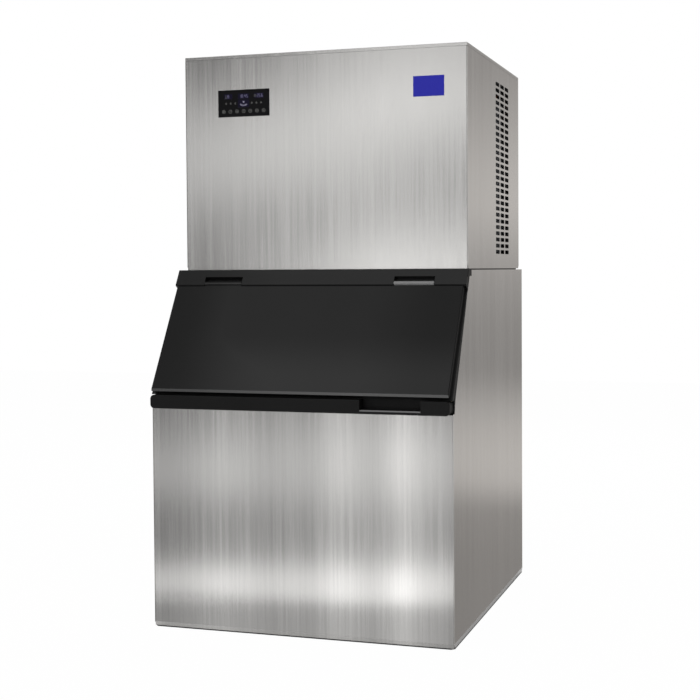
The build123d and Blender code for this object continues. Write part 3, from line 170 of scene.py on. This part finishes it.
def brushed_steel(name, stretch=upright_grain, bands=()):
    """Stainless sheet with grain along one direction: hairlines, streaks and slow changes.

    Bands are (middle, half width, gain) across the sheet: painted reflections, where the sheet's tone is made
    lighter or darker as if it mirrored brighter or darker surroundings.
    """
    material, signal = start_material(name)
    hair = noise(signal, stretch=stretch)
    streak = noise(signal, stretch=scaled(stretch, 0.16))
    slow = noise(signal, stretch=scaled(stretch, 0.03))
    grain = (hair * 0.3 + streak * 0.4 + slow * 0.3).rise(0.35, 0.65)
    cloud = noise(signal, stretch=(1.6, 1.6, 1.1), detail=1.0)
    wave = noise(signal, stretch=(3.2, 3.2, 1.3), detail=1.0)
    dark, light = scaled(steel_tone, 0.83), steel_tone
    # Painted reflections: with bands, the base tone rises and falls across the sheet
    if bands:
        plain_level = 0.44
        across = coordinate(signal, "X")
        gains = [
            across.rise(middle - half, middle) * (1 - across.rise(middle, middle + half)) * gain
            for middle, half, gain in bands
        ]
        level = sum(gains, plain_level)
        dark = blend(level, scaled(steel_tone, 0.575), scaled(steel_tone, 1.15))
        light = blend(level, scaled(steel_tone, 0.7), scaled(steel_tone, 1.4))
    grain_height, wave_height = 0.0008, 2.2
    sockets = {
        "Base Color": blend(grain * 0.85 + cloud * 0.15, dark, light),
        "Metallic": 1.0,
        "Anisotropic": 0.5,
        "Roughness": 0.19 + grain * 0.05 + cloud * 0.04,
        "Normal": bump(grain * grain_height + wave * wave_height, 1.0, millimetre),
    }
    use_surface(signal.node("ShaderNodeBsdfPrincipled", None, sockets))
    return material


def moulded(name, colour, rough=0.42, texture=1800.0, depth=0.06, sheen=0.5):
    """Injection moulded plastic with a faint spark texture and slow tone changes."""
    material, signal = start_material(name)
    cloud = noise(signal, 6.0)
    spark = noise(signal, texture)
    sockets = {
        "Base Color": blend(cloud.rise(0.3, 0.7), scaled(colour, 0.96), scaled(colour, 1.03)),
        "Roughness": rough + cloud * 0.06,
        "Specular IOR Level": sheen,
        "Normal": bump(spark, depth, 0.3 * millimetre),
    }
    use_surface(signal.node("ShaderNodeBsdfPrincipled", None, sockets))
    return material


def black_moulding(name, painted_highlight_masks, painted_shade_mix, sheen=0.7):
    """Satin black moulding, with painted highlights where some edges are made lighter, and painted shade
    where a flatter, less mirroring finish is mixed in.
    """
    material, signal = start_material(name)
    cloud = noise(signal, 6.0)
    spark = noise(signal, 1800.0)
    tone = blend(cloud.rise(0.3, 0.7), grey(0.0035), grey(0.0045))
    # Painted highlights: the base tone is lifted on the given edges
    for share, level in painted_highlight_masks(signal):
        tone = blend(share, tone, grey(level))
    normal = bump(spark, 0.03, 0.3 * millimetre)
    shaders = []
    for rough, gloss in ((0.3, sheen), (0.5, 0.2)):
        sockets = {
            "Base Color": tone,
            "Roughness": rough + cloud * 0.06,
            "Specular IOR Level": gloss,
            "Normal": normal,
        }
        shaders.append(signal.node("ShaderNodeBsdfPrincipled", None, sockets))
    satin, flat = shaders
    # Painted shade: the flat, less mirroring shader is mixed in where shade is painted
    use_surface(signal.node("ShaderNodeMixShader", None, {0: painted_shade_mix(signal), 1: satin, 2: flat}))
    return material


sill_top = 0.56
end_face = 0.7
hinge = next(joint for joint in frame["joints"] if joint["name"] == "door_hinge")
hinge_y, hinge_z = hinge["pos_m"][1:]


def frame_highlight_paint(signal):
    """Painted highlight: the bevelled lip of the finger pocket in the sill, made lighter."""
    bevelled = between(facing(signal, "Z"), 0.6, 0.8)
    return [(bevelled * (coordinate(signal, "Z") < sill_top), 0.16)]


def frame_shade_paint(signal):
    """Painted shade, as less mirroring: upright faces, ends and the inside of the pocket, and less so the
    left part.
    """
    upright = facing(signal, "Y") < -0.95
    ends = abs(facing(signal, "X")) > end_face
    left = coordinate(signal, "X").rise(-0.06, -0.36) * 0.5
    return left.larger(upright).larger(ends)


def door_highlight_paint(signal):
    """Painted highlights: the lower bevel, and the hinge knuckles towards the right, made lighter as if they
    caught the light from the right.
    """
    bevel = between(facing(signal, "Z"), -0.35, -0.1) * (facing(signal, "Y") < -0.9)
    beside_pin = between(coordinate(signal, "Y"), hinge_y - 0.0062, hinge_y + 0.006)
    level_with_pin = between(coordinate(signal, "Z"), hinge_z - 0.005, hinge_z + 0.006)
    lit = coordinate(signal, "X").rise(-0.15, 0.2)
    return [(bevel, 0.055), (level_with_pin * beside_pin * lit, 0.2)]


def door_shade_paint(signal):
    """Painted shade, as less mirroring: the door's ends, and less so its left and upper parts, which face the
    darker side of the room.
    """
    ends = abs(facing(signal, "X")) > end_face
    across = coordinate(signal, "X")
    upper = coordinate(signal, "Z").rise(0.62, 0.73) * 0.45 + across.rise(0.12, 0.34) * 0.25
    left = across.rise(-0.06, -0.36) * 0.78
    return upper.larger(left).larger(ends)


def metal(name, colour, rough=0.35, scale=60.0, spread=0.12):
    """Plain metal with mottled tone and roughness."""
    material, signal = start_material(name)
    mottle = noise(signal, scale, detail=4.0, rough=0.6).rise(0.3, 0.7)
    sockets = {
        "Base Color": blend(mottle, scaled(colour, 1 - spread), colour),
        "Metallic": 1.0,
        "Roughness": rough + mottle * 0.12,
        "Normal": bump(mottle, 0.08, 0.4 * millimetre),
    }
    use_surface(signal.node("ShaderNodeBsdfPrincipled", None, sockets))
    return material


def glowing(name, colour, strength):
    """Lit display segments under dark glass."""
    material, signal = start_material(name)
    flicker = noise(signal, 400.0, detail=1.0)
    sockets = {
        "Base Color": (*scaled(colour, 0.05), 1),
        "Roughness": 0.3,
        "Specular IOR Level": 0.12,
        "Emission Color": blend(flicker, scaled(colour, 0.9), colour),
        "Emission Strength": strength,
    }
    use_surface(signal.node("ShaderNodeBsdfPrincipled", None, sockets))
    return material


# Painted reflections across the bin's front sheet, as (middle, half width, gain)
front_reflection_bands = [(-0.2, 0.13, 0.38), (0.105, 0.075, 0.3), (0.256, 0.065, 0.45), (0.4, 0.09, -0.4)]
finishes = {
    "bin_steel": brushed_steel("bin_steel"),
    "bin_front_steel": brushed_steel("bin_front_steel", bands=front_reflection_bands),
    "head_steel": brushed_steel("head_steel"),
    "cover_steel": brushed_steel("cover_steel", cover_grain),
    "black_moulding": black_moulding("black_moulding", frame_highlight_paint, frame_shade_paint),
    "door_black": black_moulding("door_black", door_highlight_paint, door_shade_paint, 0.92),
    "base_black": moulded("base_black", grey(0.02), 0.5),
    "white_liner": moulded("white_liner", (0.83, 0.85, 0.86), 0.28, 900.0, 0.03),
    "wet_plastic": moulded("wet_plastic", (0.7, 0.74, 0.78), 0.3, 900.0, 0.03),
    "foam": moulded("foam", (0.72, 0.6, 0.34), 0.85, 500.0, 0.5),
    "black_rubber": moulded("black_rubber", grey(0.018), 0.7, 700.0, 0.2),
    "panel_gloss": moulded("panel_gloss", (0.003, 0.003, 0.0035), 0.3, 300.0, 0.0, 0.12),
    "badge_blue": moulded("badge_blue", (0.012, 0.013, 0.33), 0.3, 600.0, 0.02, 0.3),
    "circuit_green": moulded("circuit_green", (0.01, 0.12, 0.05), 0.4, 500.0, 0.1),
    "enamel_black": moulded("enamel_black", grey(0.012), 0.2, 300.0, 0.05),
    "valve_plastic": moulded("valve_plastic", (0.6, 0.6, 0.57), 0.4),
    "turned_steel": metal("turned_steel", grey(0.6), 0.3),
    "nickel": metal("nickel", (0.66, 0.65, 0.62), 0.28),
    "copper": metal("copper", (0.72, 0.32, 0.17), 0.3),
    "fin_aluminium": metal("fin_aluminium", (0.62, 0.63, 0.65), 0.4),
    "galvanised": metal("galvanised", (0.52, 0.54, 0.56), 0.42, 25.0, 0.25),
    "display_lavender": glowing("display_lavender", (0.42, 0.4, 0.66), 0.5),
    "display_glow": glowing("display_glow", (0.012, 0.009, 0.035), 0.45),
    "icon_white": glowing("icon_white", (0.5, 0.5, 0.48), 0.3),
    "icon_bright": glowing("icon_bright", (0.55, 0.53, 0.7), 0.7),
}
node_finish = {
    "bin_steel": ["bin_left_panel", "bin_right_panel", "bin_back_panel"],
    "bin_front_steel": ["bin_front_panel"],
    "head_steel": ["head_left_panel", "head_right_panel", "head_front_panel", "head_back_panel"],
    "cover_steel": ["head_top_cover"],
    "black_moulding": ["door_frame"],
    "door_black": ["door_shell"],
    "base_black": ["base_pan"],
    "white_liner": ["bin_liner", "bin_top_rim", "door_inner_panel", "compartment_wall"],
    "wet_plastic": [
        "water_curtain", "water_trough", "water_distributor", "evaporator_end_frames",
        "float_ball", "thickness_probe", "probe_bracket",
    ],
    "foam": ["bin_insulation", "door_foam"],
    "black_rubber": ["head_gasket", "door_gasket", "compressor_feet", "cord_gland", "water_riser"],
    "panel_gloss": ["control_panel"],
    "badge_blue": ["badge_plate"],
    "circuit_green": ["control_board", "control_main_board"],
    "turned_steel": ["door_hinge_pins", "ice_level_sensor"],
    "nickel": ["evaporator_grid"],
    "copper": ["evaporator_coil", "refrigerant_tubes", "filter_drier"],
    "enamel_black": ["compressor", "suction_accumulator", "hot_gas_valve", "fan_motor", "water_pump"],
    "fin_aluminium": ["condenser_coil", "fan_blade"],
    "galvanised": ["head_base_pan", "fan_shroud", "control_box", "control_box_lid"],
    "valve_plastic": [
        "water_inlet_valve", "dump_drain_stub", "bin_drain_fitting", "drain_strainer",
        "float_switch", "pump_impeller",
    ],
}
for finish, names in node_finish.items():
    for name in names:
        slots = nodes[name].data.materials
        if not slots:
            slots.append(finishes[finish])
        for index in range(len(slots)):
            slots[index] = finishes[finish]


def to_mesh(name, shape):
    """A mesh from a finished bmesh."""
    mesh = bpy.data.meshes.new(name)
    shape.to_mesh(mesh)
    shape.free()
    return mesh


def in_scene(name, data):
    """A new object in the scene."""
    made = bpy.data.objects.new(name, data)
    bpy.context.scene.collection.objects.link(made)
    return made


def piece(name, mesh, finish):
    """A new mesh piece with its finish, riding on the cabinet."""
    made = in_scene(name, mesh)
    mesh.materials.append(finishes[finish])
    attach(made, "cabinet")


def slab_mesh(name, outlines, depth, origin, across, up):
    """Flat plates of one depth; each outline is a list of (across, up) points in metres."""
    shape = bmesh.new()
    outward = across.cross(up).normalized()
    for outline in outlines:
        face = shape.faces.new([shape.verts.new(origin + across * u + up * v) for u, v in outline])
        grown = bmesh.ops.extrude_face_region(shape, geom=[face])
        corners = [part for part in grown["geom"] if isinstance(part, bmesh.types.BMVert)]
        bmesh.ops.translate(shape, verts=corners, vec=outward * depth)
    bmesh.ops.recalc_face_normals(shape, faces=shape.faces)
    return to_mesh(name, shape)


# Outlines of marks, each drawn round its own origin and then moved to its place


def moved(outlines, u, v):
    """Outlines shifted by (u, v)."""
    return [[(point_u + u, point_v + v) for point_u, point_v in outline] for outline in outlines]


def rectangle(width, height):
    """Outline of a small plate."""
    half_w, half_h = width / 2, height / 2
    return [(-half_w, -half_h), (half_w, -half_h), (half_w, half_h), (-half_w, half_h)]


def bar(start, end, width):
    """Outline of a straight stroke between two points."""
    start, end = Vector(start), Vector(end)
    run = end - start
    side = Vector((-run.y, run.x)).normalized() * width / 2
    return [tuple(corner) for corner in (start - side, end - side, end + side, start + side)]


def path(points, width):
    """Straight strokes from point to point."""
    return [bar(start, end, width) for start, end in pairwise(points)]


def arc(radius, width, first=0, last=360, steps=20):
    """Outlines that together make an arc or a ring."""
    angles = [radians(first + (last - first) * step / steps) for step in range(steps + 1)]
    inner, outer = radius - width / 2, radius + width / 2
    return [
        [
            (inner * cos(a), inner * sin(a)), (outer * cos(a), outer * sin(a)),
            (outer * cos(b), outer * sin(b)), (inner * cos(b), inner * sin(b)),
        ]
        for a, b in pairwise(angles)
    ]


def star(radius, width):
    """Six strokes from the middle, as in a snowflake or a fan."""
    return [
        bar((0, 0), (radius * cos(pi * arm / 3), radius * sin(pi * arm / 3)), width)
        for arm in range(6)
    ]


digit_strokes = {"1": "bc", "2": "abged", "4": "fgbc", "5": "afgcd", "6": "afgedc", "8": "abcdefg"}


def digit(figure, width, height):
    """Seven-segment figure."""
    half_w, half_h, stroke = width / 2, height / 2, width * 0.17
    gap = stroke * 0.6
    ends = {
        "a": ((-half_w + gap, half_h), (half_w - gap, half_h)),
        "b": ((half_w, half_h - gap), (half_w, gap)),
        "c": ((half_w, -gap), (half_w, -half_h + gap)),
        "d": ((-half_w + gap, -half_h), (half_w - gap, -half_h)),
        "e": ((-half_w, -gap), (-half_w, -half_h + gap)),
        "f": ((-half_w, half_h - gap), (-half_w, gap)),
        "g": ((-half_w + gap, 0), (half_w - gap, 0)),
    }
    return [bar(*ends[key], stroke) for key in digit_strokes[figure]]


# Touch panel graphics: figures in three fields, small icons, and a row of round keys
panel_low, panel_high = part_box("control_panel")
panel_width = panel_high.x - panel_low.x
panel_height = panel_high.z - panel_low.z
top_row, middle_row, key_row = 0.76, 0.5, 0.2
fine = 0.0007
thin = fine * 0.8


def on_panel(outlines, across, row):
    """Outlines moved to a place given in shares of the panel's width and height."""
    return moved(outlines, across * panel_width, row * panel_height)


def panel_print(name, outlines, finish, proud=0.00012, depth=0.0003):
    """Flat marks that stand a little proud of the panel's glass."""
    origin = Vector((panel_low.x, panel_low.y - proud, panel_low.z))
    across, up = Vector((1, 0, 0)), Vector((0, 0, 1))
    piece(name, slab_mesh(name, outlines, depth, origin, across, up), finish)


figure_width, figure_height = 0.0034, 0.0075
figure_pitch = 0.038
figures = []
for across, text in ((0.2, "8"), (0.435, "18"), (0.53, "45"), (0.775, "25"), (0.86, "6")):
    for number, figure in enumerate(text):
        outlines = digit(figure, figure_width, figure_height)
        figures += on_panel(outlines, across + figure_pitch * number, top_row)
dot = [rectangle(fine, fine)]
figures += on_panel(moved(dot, 0, -0.0017) + moved(dot, 0, 0.0017), 0.512, top_row)
panel_print("panel_figures", figures, "display_lavender")

field_height = 0.013
windows = []
for across, width in ((0.2, 0.022), (0.5, 0.03), (0.8, 0.024)):
    windows += on_panel([rectangle(width, field_height)], across, top_row)
windows += on_panel(moved([rectangle(0.03, 0.019)], 0, -0.001), 0.5, middle_row)
panel_print("panel_windows", windows, "display_glow", 0.00003, 0.0002)

snowflake = moved(star(0.003, fine), 0, 0.003)
bowl = arc(0.0095, fine, 215, 325) + arc(0.0118, fine, 215, 325)
panel_print("panel_cube_icon", on_panel(snowflake + moved(bowl, 0, 0.0045), 0.5, middle_row), "icon_bright")

thermometer = [bar((0, -0.003), (0, 0.004), fine)] + moved(arc(0.0011, fine, steps=12), 0, -0.0035)
clock = arc(0.0026, thin) + [bar((0, 0), (0, 0.0019), thin)]
gauge = arc(0.002, thin, 40, 320, 12) + [bar((0, -0.0012), (0, 0.0012), fine)]
triangle = path([(-0.002, -0.0016), (0, 0.002), (0.002, -0.0016), (-0.002, -0.0016)], fine)
key_marks = {
    "power": arc(0.0018, fine, 120, 420, 14) + [bar((0, 0), (0, 0.0026), fine)],
    "minus": [bar((-0.0018, 0), (0.0018, 0), fine)],
    "fan": star(0.0022, thin),
    "up": path([(-0.0014, -0.0012), (0, 0.0014), (0.0014, -0.0012)], fine),
    "down": path([(-0.0014, 0.0012), (0, -0.0014), (0.0014, 0.0012)], fine),
    "ring": arc(0.0019, fine, steps=14),
    "list": [bar((-0.0016, line), (0.0016, line), thin) for line in (-0.0012, 0, 0.0012)],
}
icons = on_panel(thermometer, 0.155, top_row) + on_panel(clock, 0.725, top_row)
for across in (0.16, 0.25, 0.34):
    icons += on_panel(gauge, across, middle_row)
for across in (0.66, 0.75, 0.84):
    icons += on_panel(triangle, across, middle_row)
key_ring = arc(0.0042, fine, steps=24)
first_key, key_pitch = 0.11, 0.13
for number, mark in enumerate(key_marks.values()):
    icons += on_panel(key_ring + mark, first_key + number * key_pitch, key_row)
panel_print("panel_icons", icons, "icon_white")


def lathe(name, profile, centre, steps):
    """Form turned about an axis that points backwards; profile points are (radius, distance along)."""
    shape = bmesh.new()
    backwards = Vector((0, 1, 0))
    side = backwards.orthogonal().normalized()
    up = backwards.cross(side)
    angles = [2 * pi * step / steps for step in range(steps)]
    spokes = [side * cos(angle) + up * sin(angle) for angle in angles]
    rings = [
        [shape.verts.new(centre + backwards * along + spoke * radius) for spoke in spokes]
        for radius, along in profile
    ]
    for low, high in pairwise(rings):
        for step in range(steps):
            following = (step + 1) % steps
            shape.faces.new((low[step], low[following], high[following], high[step]))
    bmesh.ops.recalc_face_normals(shape, faces=shape.faces)
    return to_mesh(name, shape)


def joined(name, meshes):
    """Several meshes as one."""
    shape = bmesh.new()
    for mesh in meshes:
        shape.from_mesh(mesh)
    return to_mesh(name, shape)


# Pan head screws of the two back sheets, set in from the sheets' edges
screw_profile = [
    (0.0, 0.0009), (0.0011, 0.0009), (0.0014, 0.0021), (0.0026, 0.0019), (0.0036, 0.0012),
    (0.004, 0.0004), (0.004, -0.0002),
]
head_low, head_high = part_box("head_back_panel")
bin_low, bin_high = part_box("bin_back_panel")
head_x = 0.34
head_rows = (head_low.z + 0.03, head_high.z - 0.008)
bin_x = bin_high.x - 0.02
bin_inset = 0.057
bin_rows = (bin_low.z + bin_inset, (bin_low.z + bin_high.z) / 2, bin_high.z - bin_inset)
screw_places = [Vector((x, head_high.y, z)) for x in (-head_x, 0, head_x) for z in head_rows]
screw_places += [Vector((x, bin_high.y, z)) for x in (-bin_x, bin_x) for z in bin_rows]
screws = [lathe("screw", screw_profile, place, 20) for place in screw_places]
piece("back_screws", joined("back_screws", screws), "turned_steel")

# Thread ridges on the water inlet's stub
inlet_low, inlet_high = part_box("water_inlet_valve")
inlet_x = (inlet_low.x + inlet_high.x) / 2
inlet_height = 1.0
thread_start = inlet_high.y - 0.0185
thread_length, thread_pitch = 0.0175, 0.0018
stub_radius, root_gap, ridge_height = 0.0132, 0.00005, 0.0007
thread_turns = int(thread_length / thread_pitch)
thread_profile = []
for number in range(thread_turns):
    along = number * thread_pitch
    thread_profile.append((stub_radius + root_gap, along))
    thread_profile.append((stub_radius + ridge_height, along + thread_pitch * 0.5))
thread_profile.append((stub_radius + root_gap, thread_turns * thread_pitch))
inlet_centre = Vector((inlet_x, thread_start, inlet_height))
piece("inlet_thread", lathe("inlet_thread", thread_profile, inlet_centre, 40), "valve_plastic")

# Camera from the fit of the photograph's corner points
camera_place = Vector((1.10585, -3.37067, 0.87860))
camera_yaw = -0.3030
camera_pitch = 0.0341
camera_roll = -0.0061
focal_pixels = 1328.56
photo_pixels = 700
shift_right_pixels = 20
shift_up_pixels = 35
sensor_width = 36.0

ahead = Vector((
    sin(camera_yaw) * cos(camera_pitch),
    cos(camera_yaw) * cos(camera_pitch),
    -sin(camera_pitch),
))
level_right = Vector((cos(camera_yaw), -sin(camera_yaw), 0))
level_up = level_right.cross(ahead)
camera_right = level_right * cos(camera_roll) + level_up * sin(camera_roll)
camera_up = level_up * cos(camera_roll) - level_right * sin(camera_roll)
camera_data = bpy.data.cameras.new("photo_camera")
camera_data.sensor_width = sensor_width
camera_data.lens = focal_pixels * sensor_width / photo_pixels
camera_data.shift_x = -shift_right_pixels / photo_pixels
camera_data.shift_y = -shift_up_pixels / photo_pixels
camera = in_scene("photo_camera", camera_data)
camera_turn = Matrix((camera_right, camera_up, -ahead)).transposed()
camera.matrix_world = Matrix.Translation(camera_place) @ camera_turn.to_4x4()
bpy.context.scene.camera = camera


def area_light(name, where, target, size, power):
    """A soft box aimed at a point."""
    data = bpy.data.lights.new(name, "AREA")
    data.shape = "RECTANGLE"
    data.size, data.size_y = size
    data.energy = power
    light = in_scene(name, data)
    light.location = where
    light.rotation_euler = (Vector(target) - Vector(where)).to_track_quat("-Z", "Y").to_euler()
    light.visible_glossy = False


area_light("key_box", (2.4, -3.0, 2.7), (0, 0, 0.8), (1.6, 1.6), 50)
area_light("fill_box", (-2.8, -2.6, 1.8), (0, 0, 0.7), (2.0, 2.4), 30)
area_light("back_box", (-0.6, 3.2, 2.2), (0, 0, 0.8), (2.4, 2.0), 50)


def reflected_card(name, corners, strength, fade=None, tint=(1, 1, 1)):
    """A plain panel that only reflections see; fade is (axis, start, end, strength at the end)."""
    shape = bmesh.new()
    shape.faces.new([shape.verts.new(corner) for corner in corners])
    mesh = to_mesh(name, shape)
    material, signal = start_material(name)
    axis, start, end, last = fade or ("X", 0, 1, strength)
    sockets = {"Value": coordinate(signal, axis), "From Min": start, "From Max": end}
    share = signal.node("ShaderNodeMapRange", None, sockets)
    tone = blend(share, scaled(tint, strength), scaled(tint, last))
    use_surface(signal.node("ShaderNodeEmission", None, {"Color": tone, "Strength": 1.0}))
    mesh.materials.append(material)
    card = in_scene(name, mesh)
    card.visible_camera = False
    card.visible_diffuse = False
    card.visible_shadow = False
    card.visible_transmission = False


# The bin's front sheet, to a millimetre, and how far sideways its edges mirror the floor for each metre out
sheet_low, sheet_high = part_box("bin_front_panel")
sheet_front, sheet_edge = round(sheet_low.y, 3), round(sheet_high.x, 3)
left_drift, right_drift = 0.5, 0.244
card_left, card_right = -0.8, 1.3
above_floor = 0.012


def floor_card(name, near, far, left, right, skew=(0.0, 0.0)):
    """A card on the floor in front; each end is its distance from the bin's front sheet.

    The two strengths are what the left and right edges of the sheet mirror, and skew is how much nearer each
    end lies at the left edge.
    """
    ends = []
    for end, shift in zip((near, far), skew):
        left_x = card_left - end
        mirrored_width = 2 * sheet_edge + (left_drift - right_drift) * end
        slope = shift * (card_right - left_x) / mirrored_width
        y = sheet_front - end
        ends.append([(left_x, y + slope, above_floor), (card_right, y, above_floor)])
    corners = ends[0] + ends[1][::-1]
    middle = (near + far) / 2
    fade = ("X", -sheet_edge - left_drift * middle, sheet_edge - right_drift * middle, right)
    reflected_card(name, corners, left, fade)


def upright_card(name, y, x_range, z_range, strength, fade=None, tint=(1, 1, 1)):
    """A card that stands across the view."""
    (left, right), (low, high) = x_range, z_range
    corners = [(left, y, low), (right, y, low), (right, y, high), (left, y, high)]
    reflected_card(name, corners, strength, fade, tint)


# What the front sheets mirror: the floor in front, in bands away from the bin, and the wall across the studio
studio_wall = -5.2
floor_card("floor_foot", 0.0, 0.3, 0.38, 0.62)
floor_card("floor_near_light", 0.66, 1.04, 0.82, 1.5, (0.27, 0.26))
floor_card("floor_dark_band", 1.12, 1.68, 0.2, 0.55, (0.28, 0.0))
floor_card("floor_middle", 1.85, 2.8, 0.85, 1.12)
floor_card("floor_far_light", 2.8, 3.5, 0.2, 2.0)
floor_card("floor_farthest", 3.5, 4.75, 0.02, 0.85)
upright_card("wall_foot", studio_wall, (-3.9, 1.5), (above_floor, 0.4), 0.22)
upright_card("wall_low_right", studio_wall, (-1.6, -0.5), (0.55, 1.08), 2.35)
upright_card("wall_low_middle", studio_wall, (-2.1, -1.6), (0.55, 0.98), 1.05)
upright_card("wall_middle", studio_wall, (-2.2, -1.5), (1.0, 1.35), 0.1)
upright_card("wall_right", studio_wall, (-1.5, -0.5), (1.08, 1.5), 0.95, ("X", -1.3, -0.9, 0.1))
upright_card("wall_top_middle", studio_wall, (-1.5, -0.5), (1.5, 1.8), 1.35, ("X", -1.3, -0.85, 0.45))
upright_card("wall_band", studio_wall, (-3.1, -1.5), (1.36, 1.93), 1.2)
upright_card("wall_bright_top", studio_wall, (-1.9, -0.5), (1.8, 2.07), 1.45, ("X", -1.8, -1.1, 2.4))
upright_card("wall_top", studio_wall, (-2.4, -0.5), (2.07, 2.9), 0.04, ("X", -2.3, -1.2, 1.1))
upright_card("wall_dark_high", studio_wall, (-3.9, -2.4), (2.0, 3.4), 0.04)
upright_card("wall_dark_low", studio_wall, (-3.9, -2.2), (0.6, 1.15), 0.24)

# What the right-hand sheets mirror: the warmer wall behind and the floor beside, as (place, strength) steps
behind_wall = 4.5
warm = (1, 0.955, 0.915)
behind_steps = [
    (above_floor, 0.58), (0.25, 0.32), (0.55, 0.36), (0.85, 0.46),
    (1.25, 0.73), (1.5, 0.68), (2.1, 0.4), (3.2, 0.4),
]
for (low, first), (high, last) in pairwise(behind_steps):
    fade = ("Z", low, high, last)
    upright_card(f"behind_{high}", behind_wall, (0.6, 2.4), (low, high), first, fade, warm)
beside_left, beside_right = 0.382, 2.6
floor_steps = [(-0.45, 0.32), (0.5, 0.33), (1.3, 0.37), (1.9, 0.66), (2.5, 0.69), (3.2, 0.66), (4.4, 0.58)]
for (near, first), (far, last) in pairwise(floor_steps):
    corners = [
        (beside_left, near, above_floor), (beside_right, near, above_floor),
        (beside_right, far, above_floor), (beside_left, far, above_floor),
    ]
    reflected_card(f"floor_behind_{far}", corners, first, ("Y", near, far, last), warm)

# World: white for the camera, soft grey studio for light and reflections
room_light, mirrored_room, white = 0.55, 0.42, 1.0
world = bpy.data.worlds.new("studio")
bpy.context.scene.world = world
world.use_nodes = True
world.node_tree.nodes.clear()
sky = Signal(world.node_tree)
camera_ray = sky.node("ShaderNodeLightPath", output="Is Camera Ray")
glossy_ray = sky.node("ShaderNodeLightPath", output="Is Glossy Ray")
strength = room_light - glossy_ray * (room_light - mirrored_room) + camera_ray * (white - room_light)
background = sky.node("ShaderNodeBackground", None, {"Color": (1, 1, 1, 1), "Strength": strength})
use_surface(background, "ShaderNodeOutputWorld")


def pale_floor():
    """Floor that reads white to the camera and keeps a soft shadow."""
    material, signal = start_material("floor_white")
    white_share = signal.node("ShaderNodeLightPath", output="Is Camera Ray") * 0.985
    tone = blend(noise(signal, 2.0, detail=3.0), grey(0.8), grey(0.82))
    lit = signal.node("ShaderNodeBsdfDiffuse", None, {"Color": tone})
    plain = signal.node("ShaderNodeEmission", None, {"Color": (1, 1, 1, 1), "Strength": 1.0})
    use_surface(signal.node("ShaderNodeMixShader", None, {0: white_share, 1: lit, 2: plain}))
    return material


floor_size, floor_thickness, floor_gap = 14, 0.01, 0.001
floor_origin = Vector((0, 0, -floor_gap - floor_thickness))
floor_outline = rectangle(floor_size, floor_size)
floor_axes = (Vector((1, 0, 0)), Vector((0, 1, 0)))
floor_mesh = slab_mesh("floor", [floor_outline], floor_thickness, floor_origin, *floor_axes)
floor_mesh.materials.append(pale_floor())
floor = in_scene("floor", floor_mesh)

bpy.context.scene.view_settings.view_transform = "Standard"
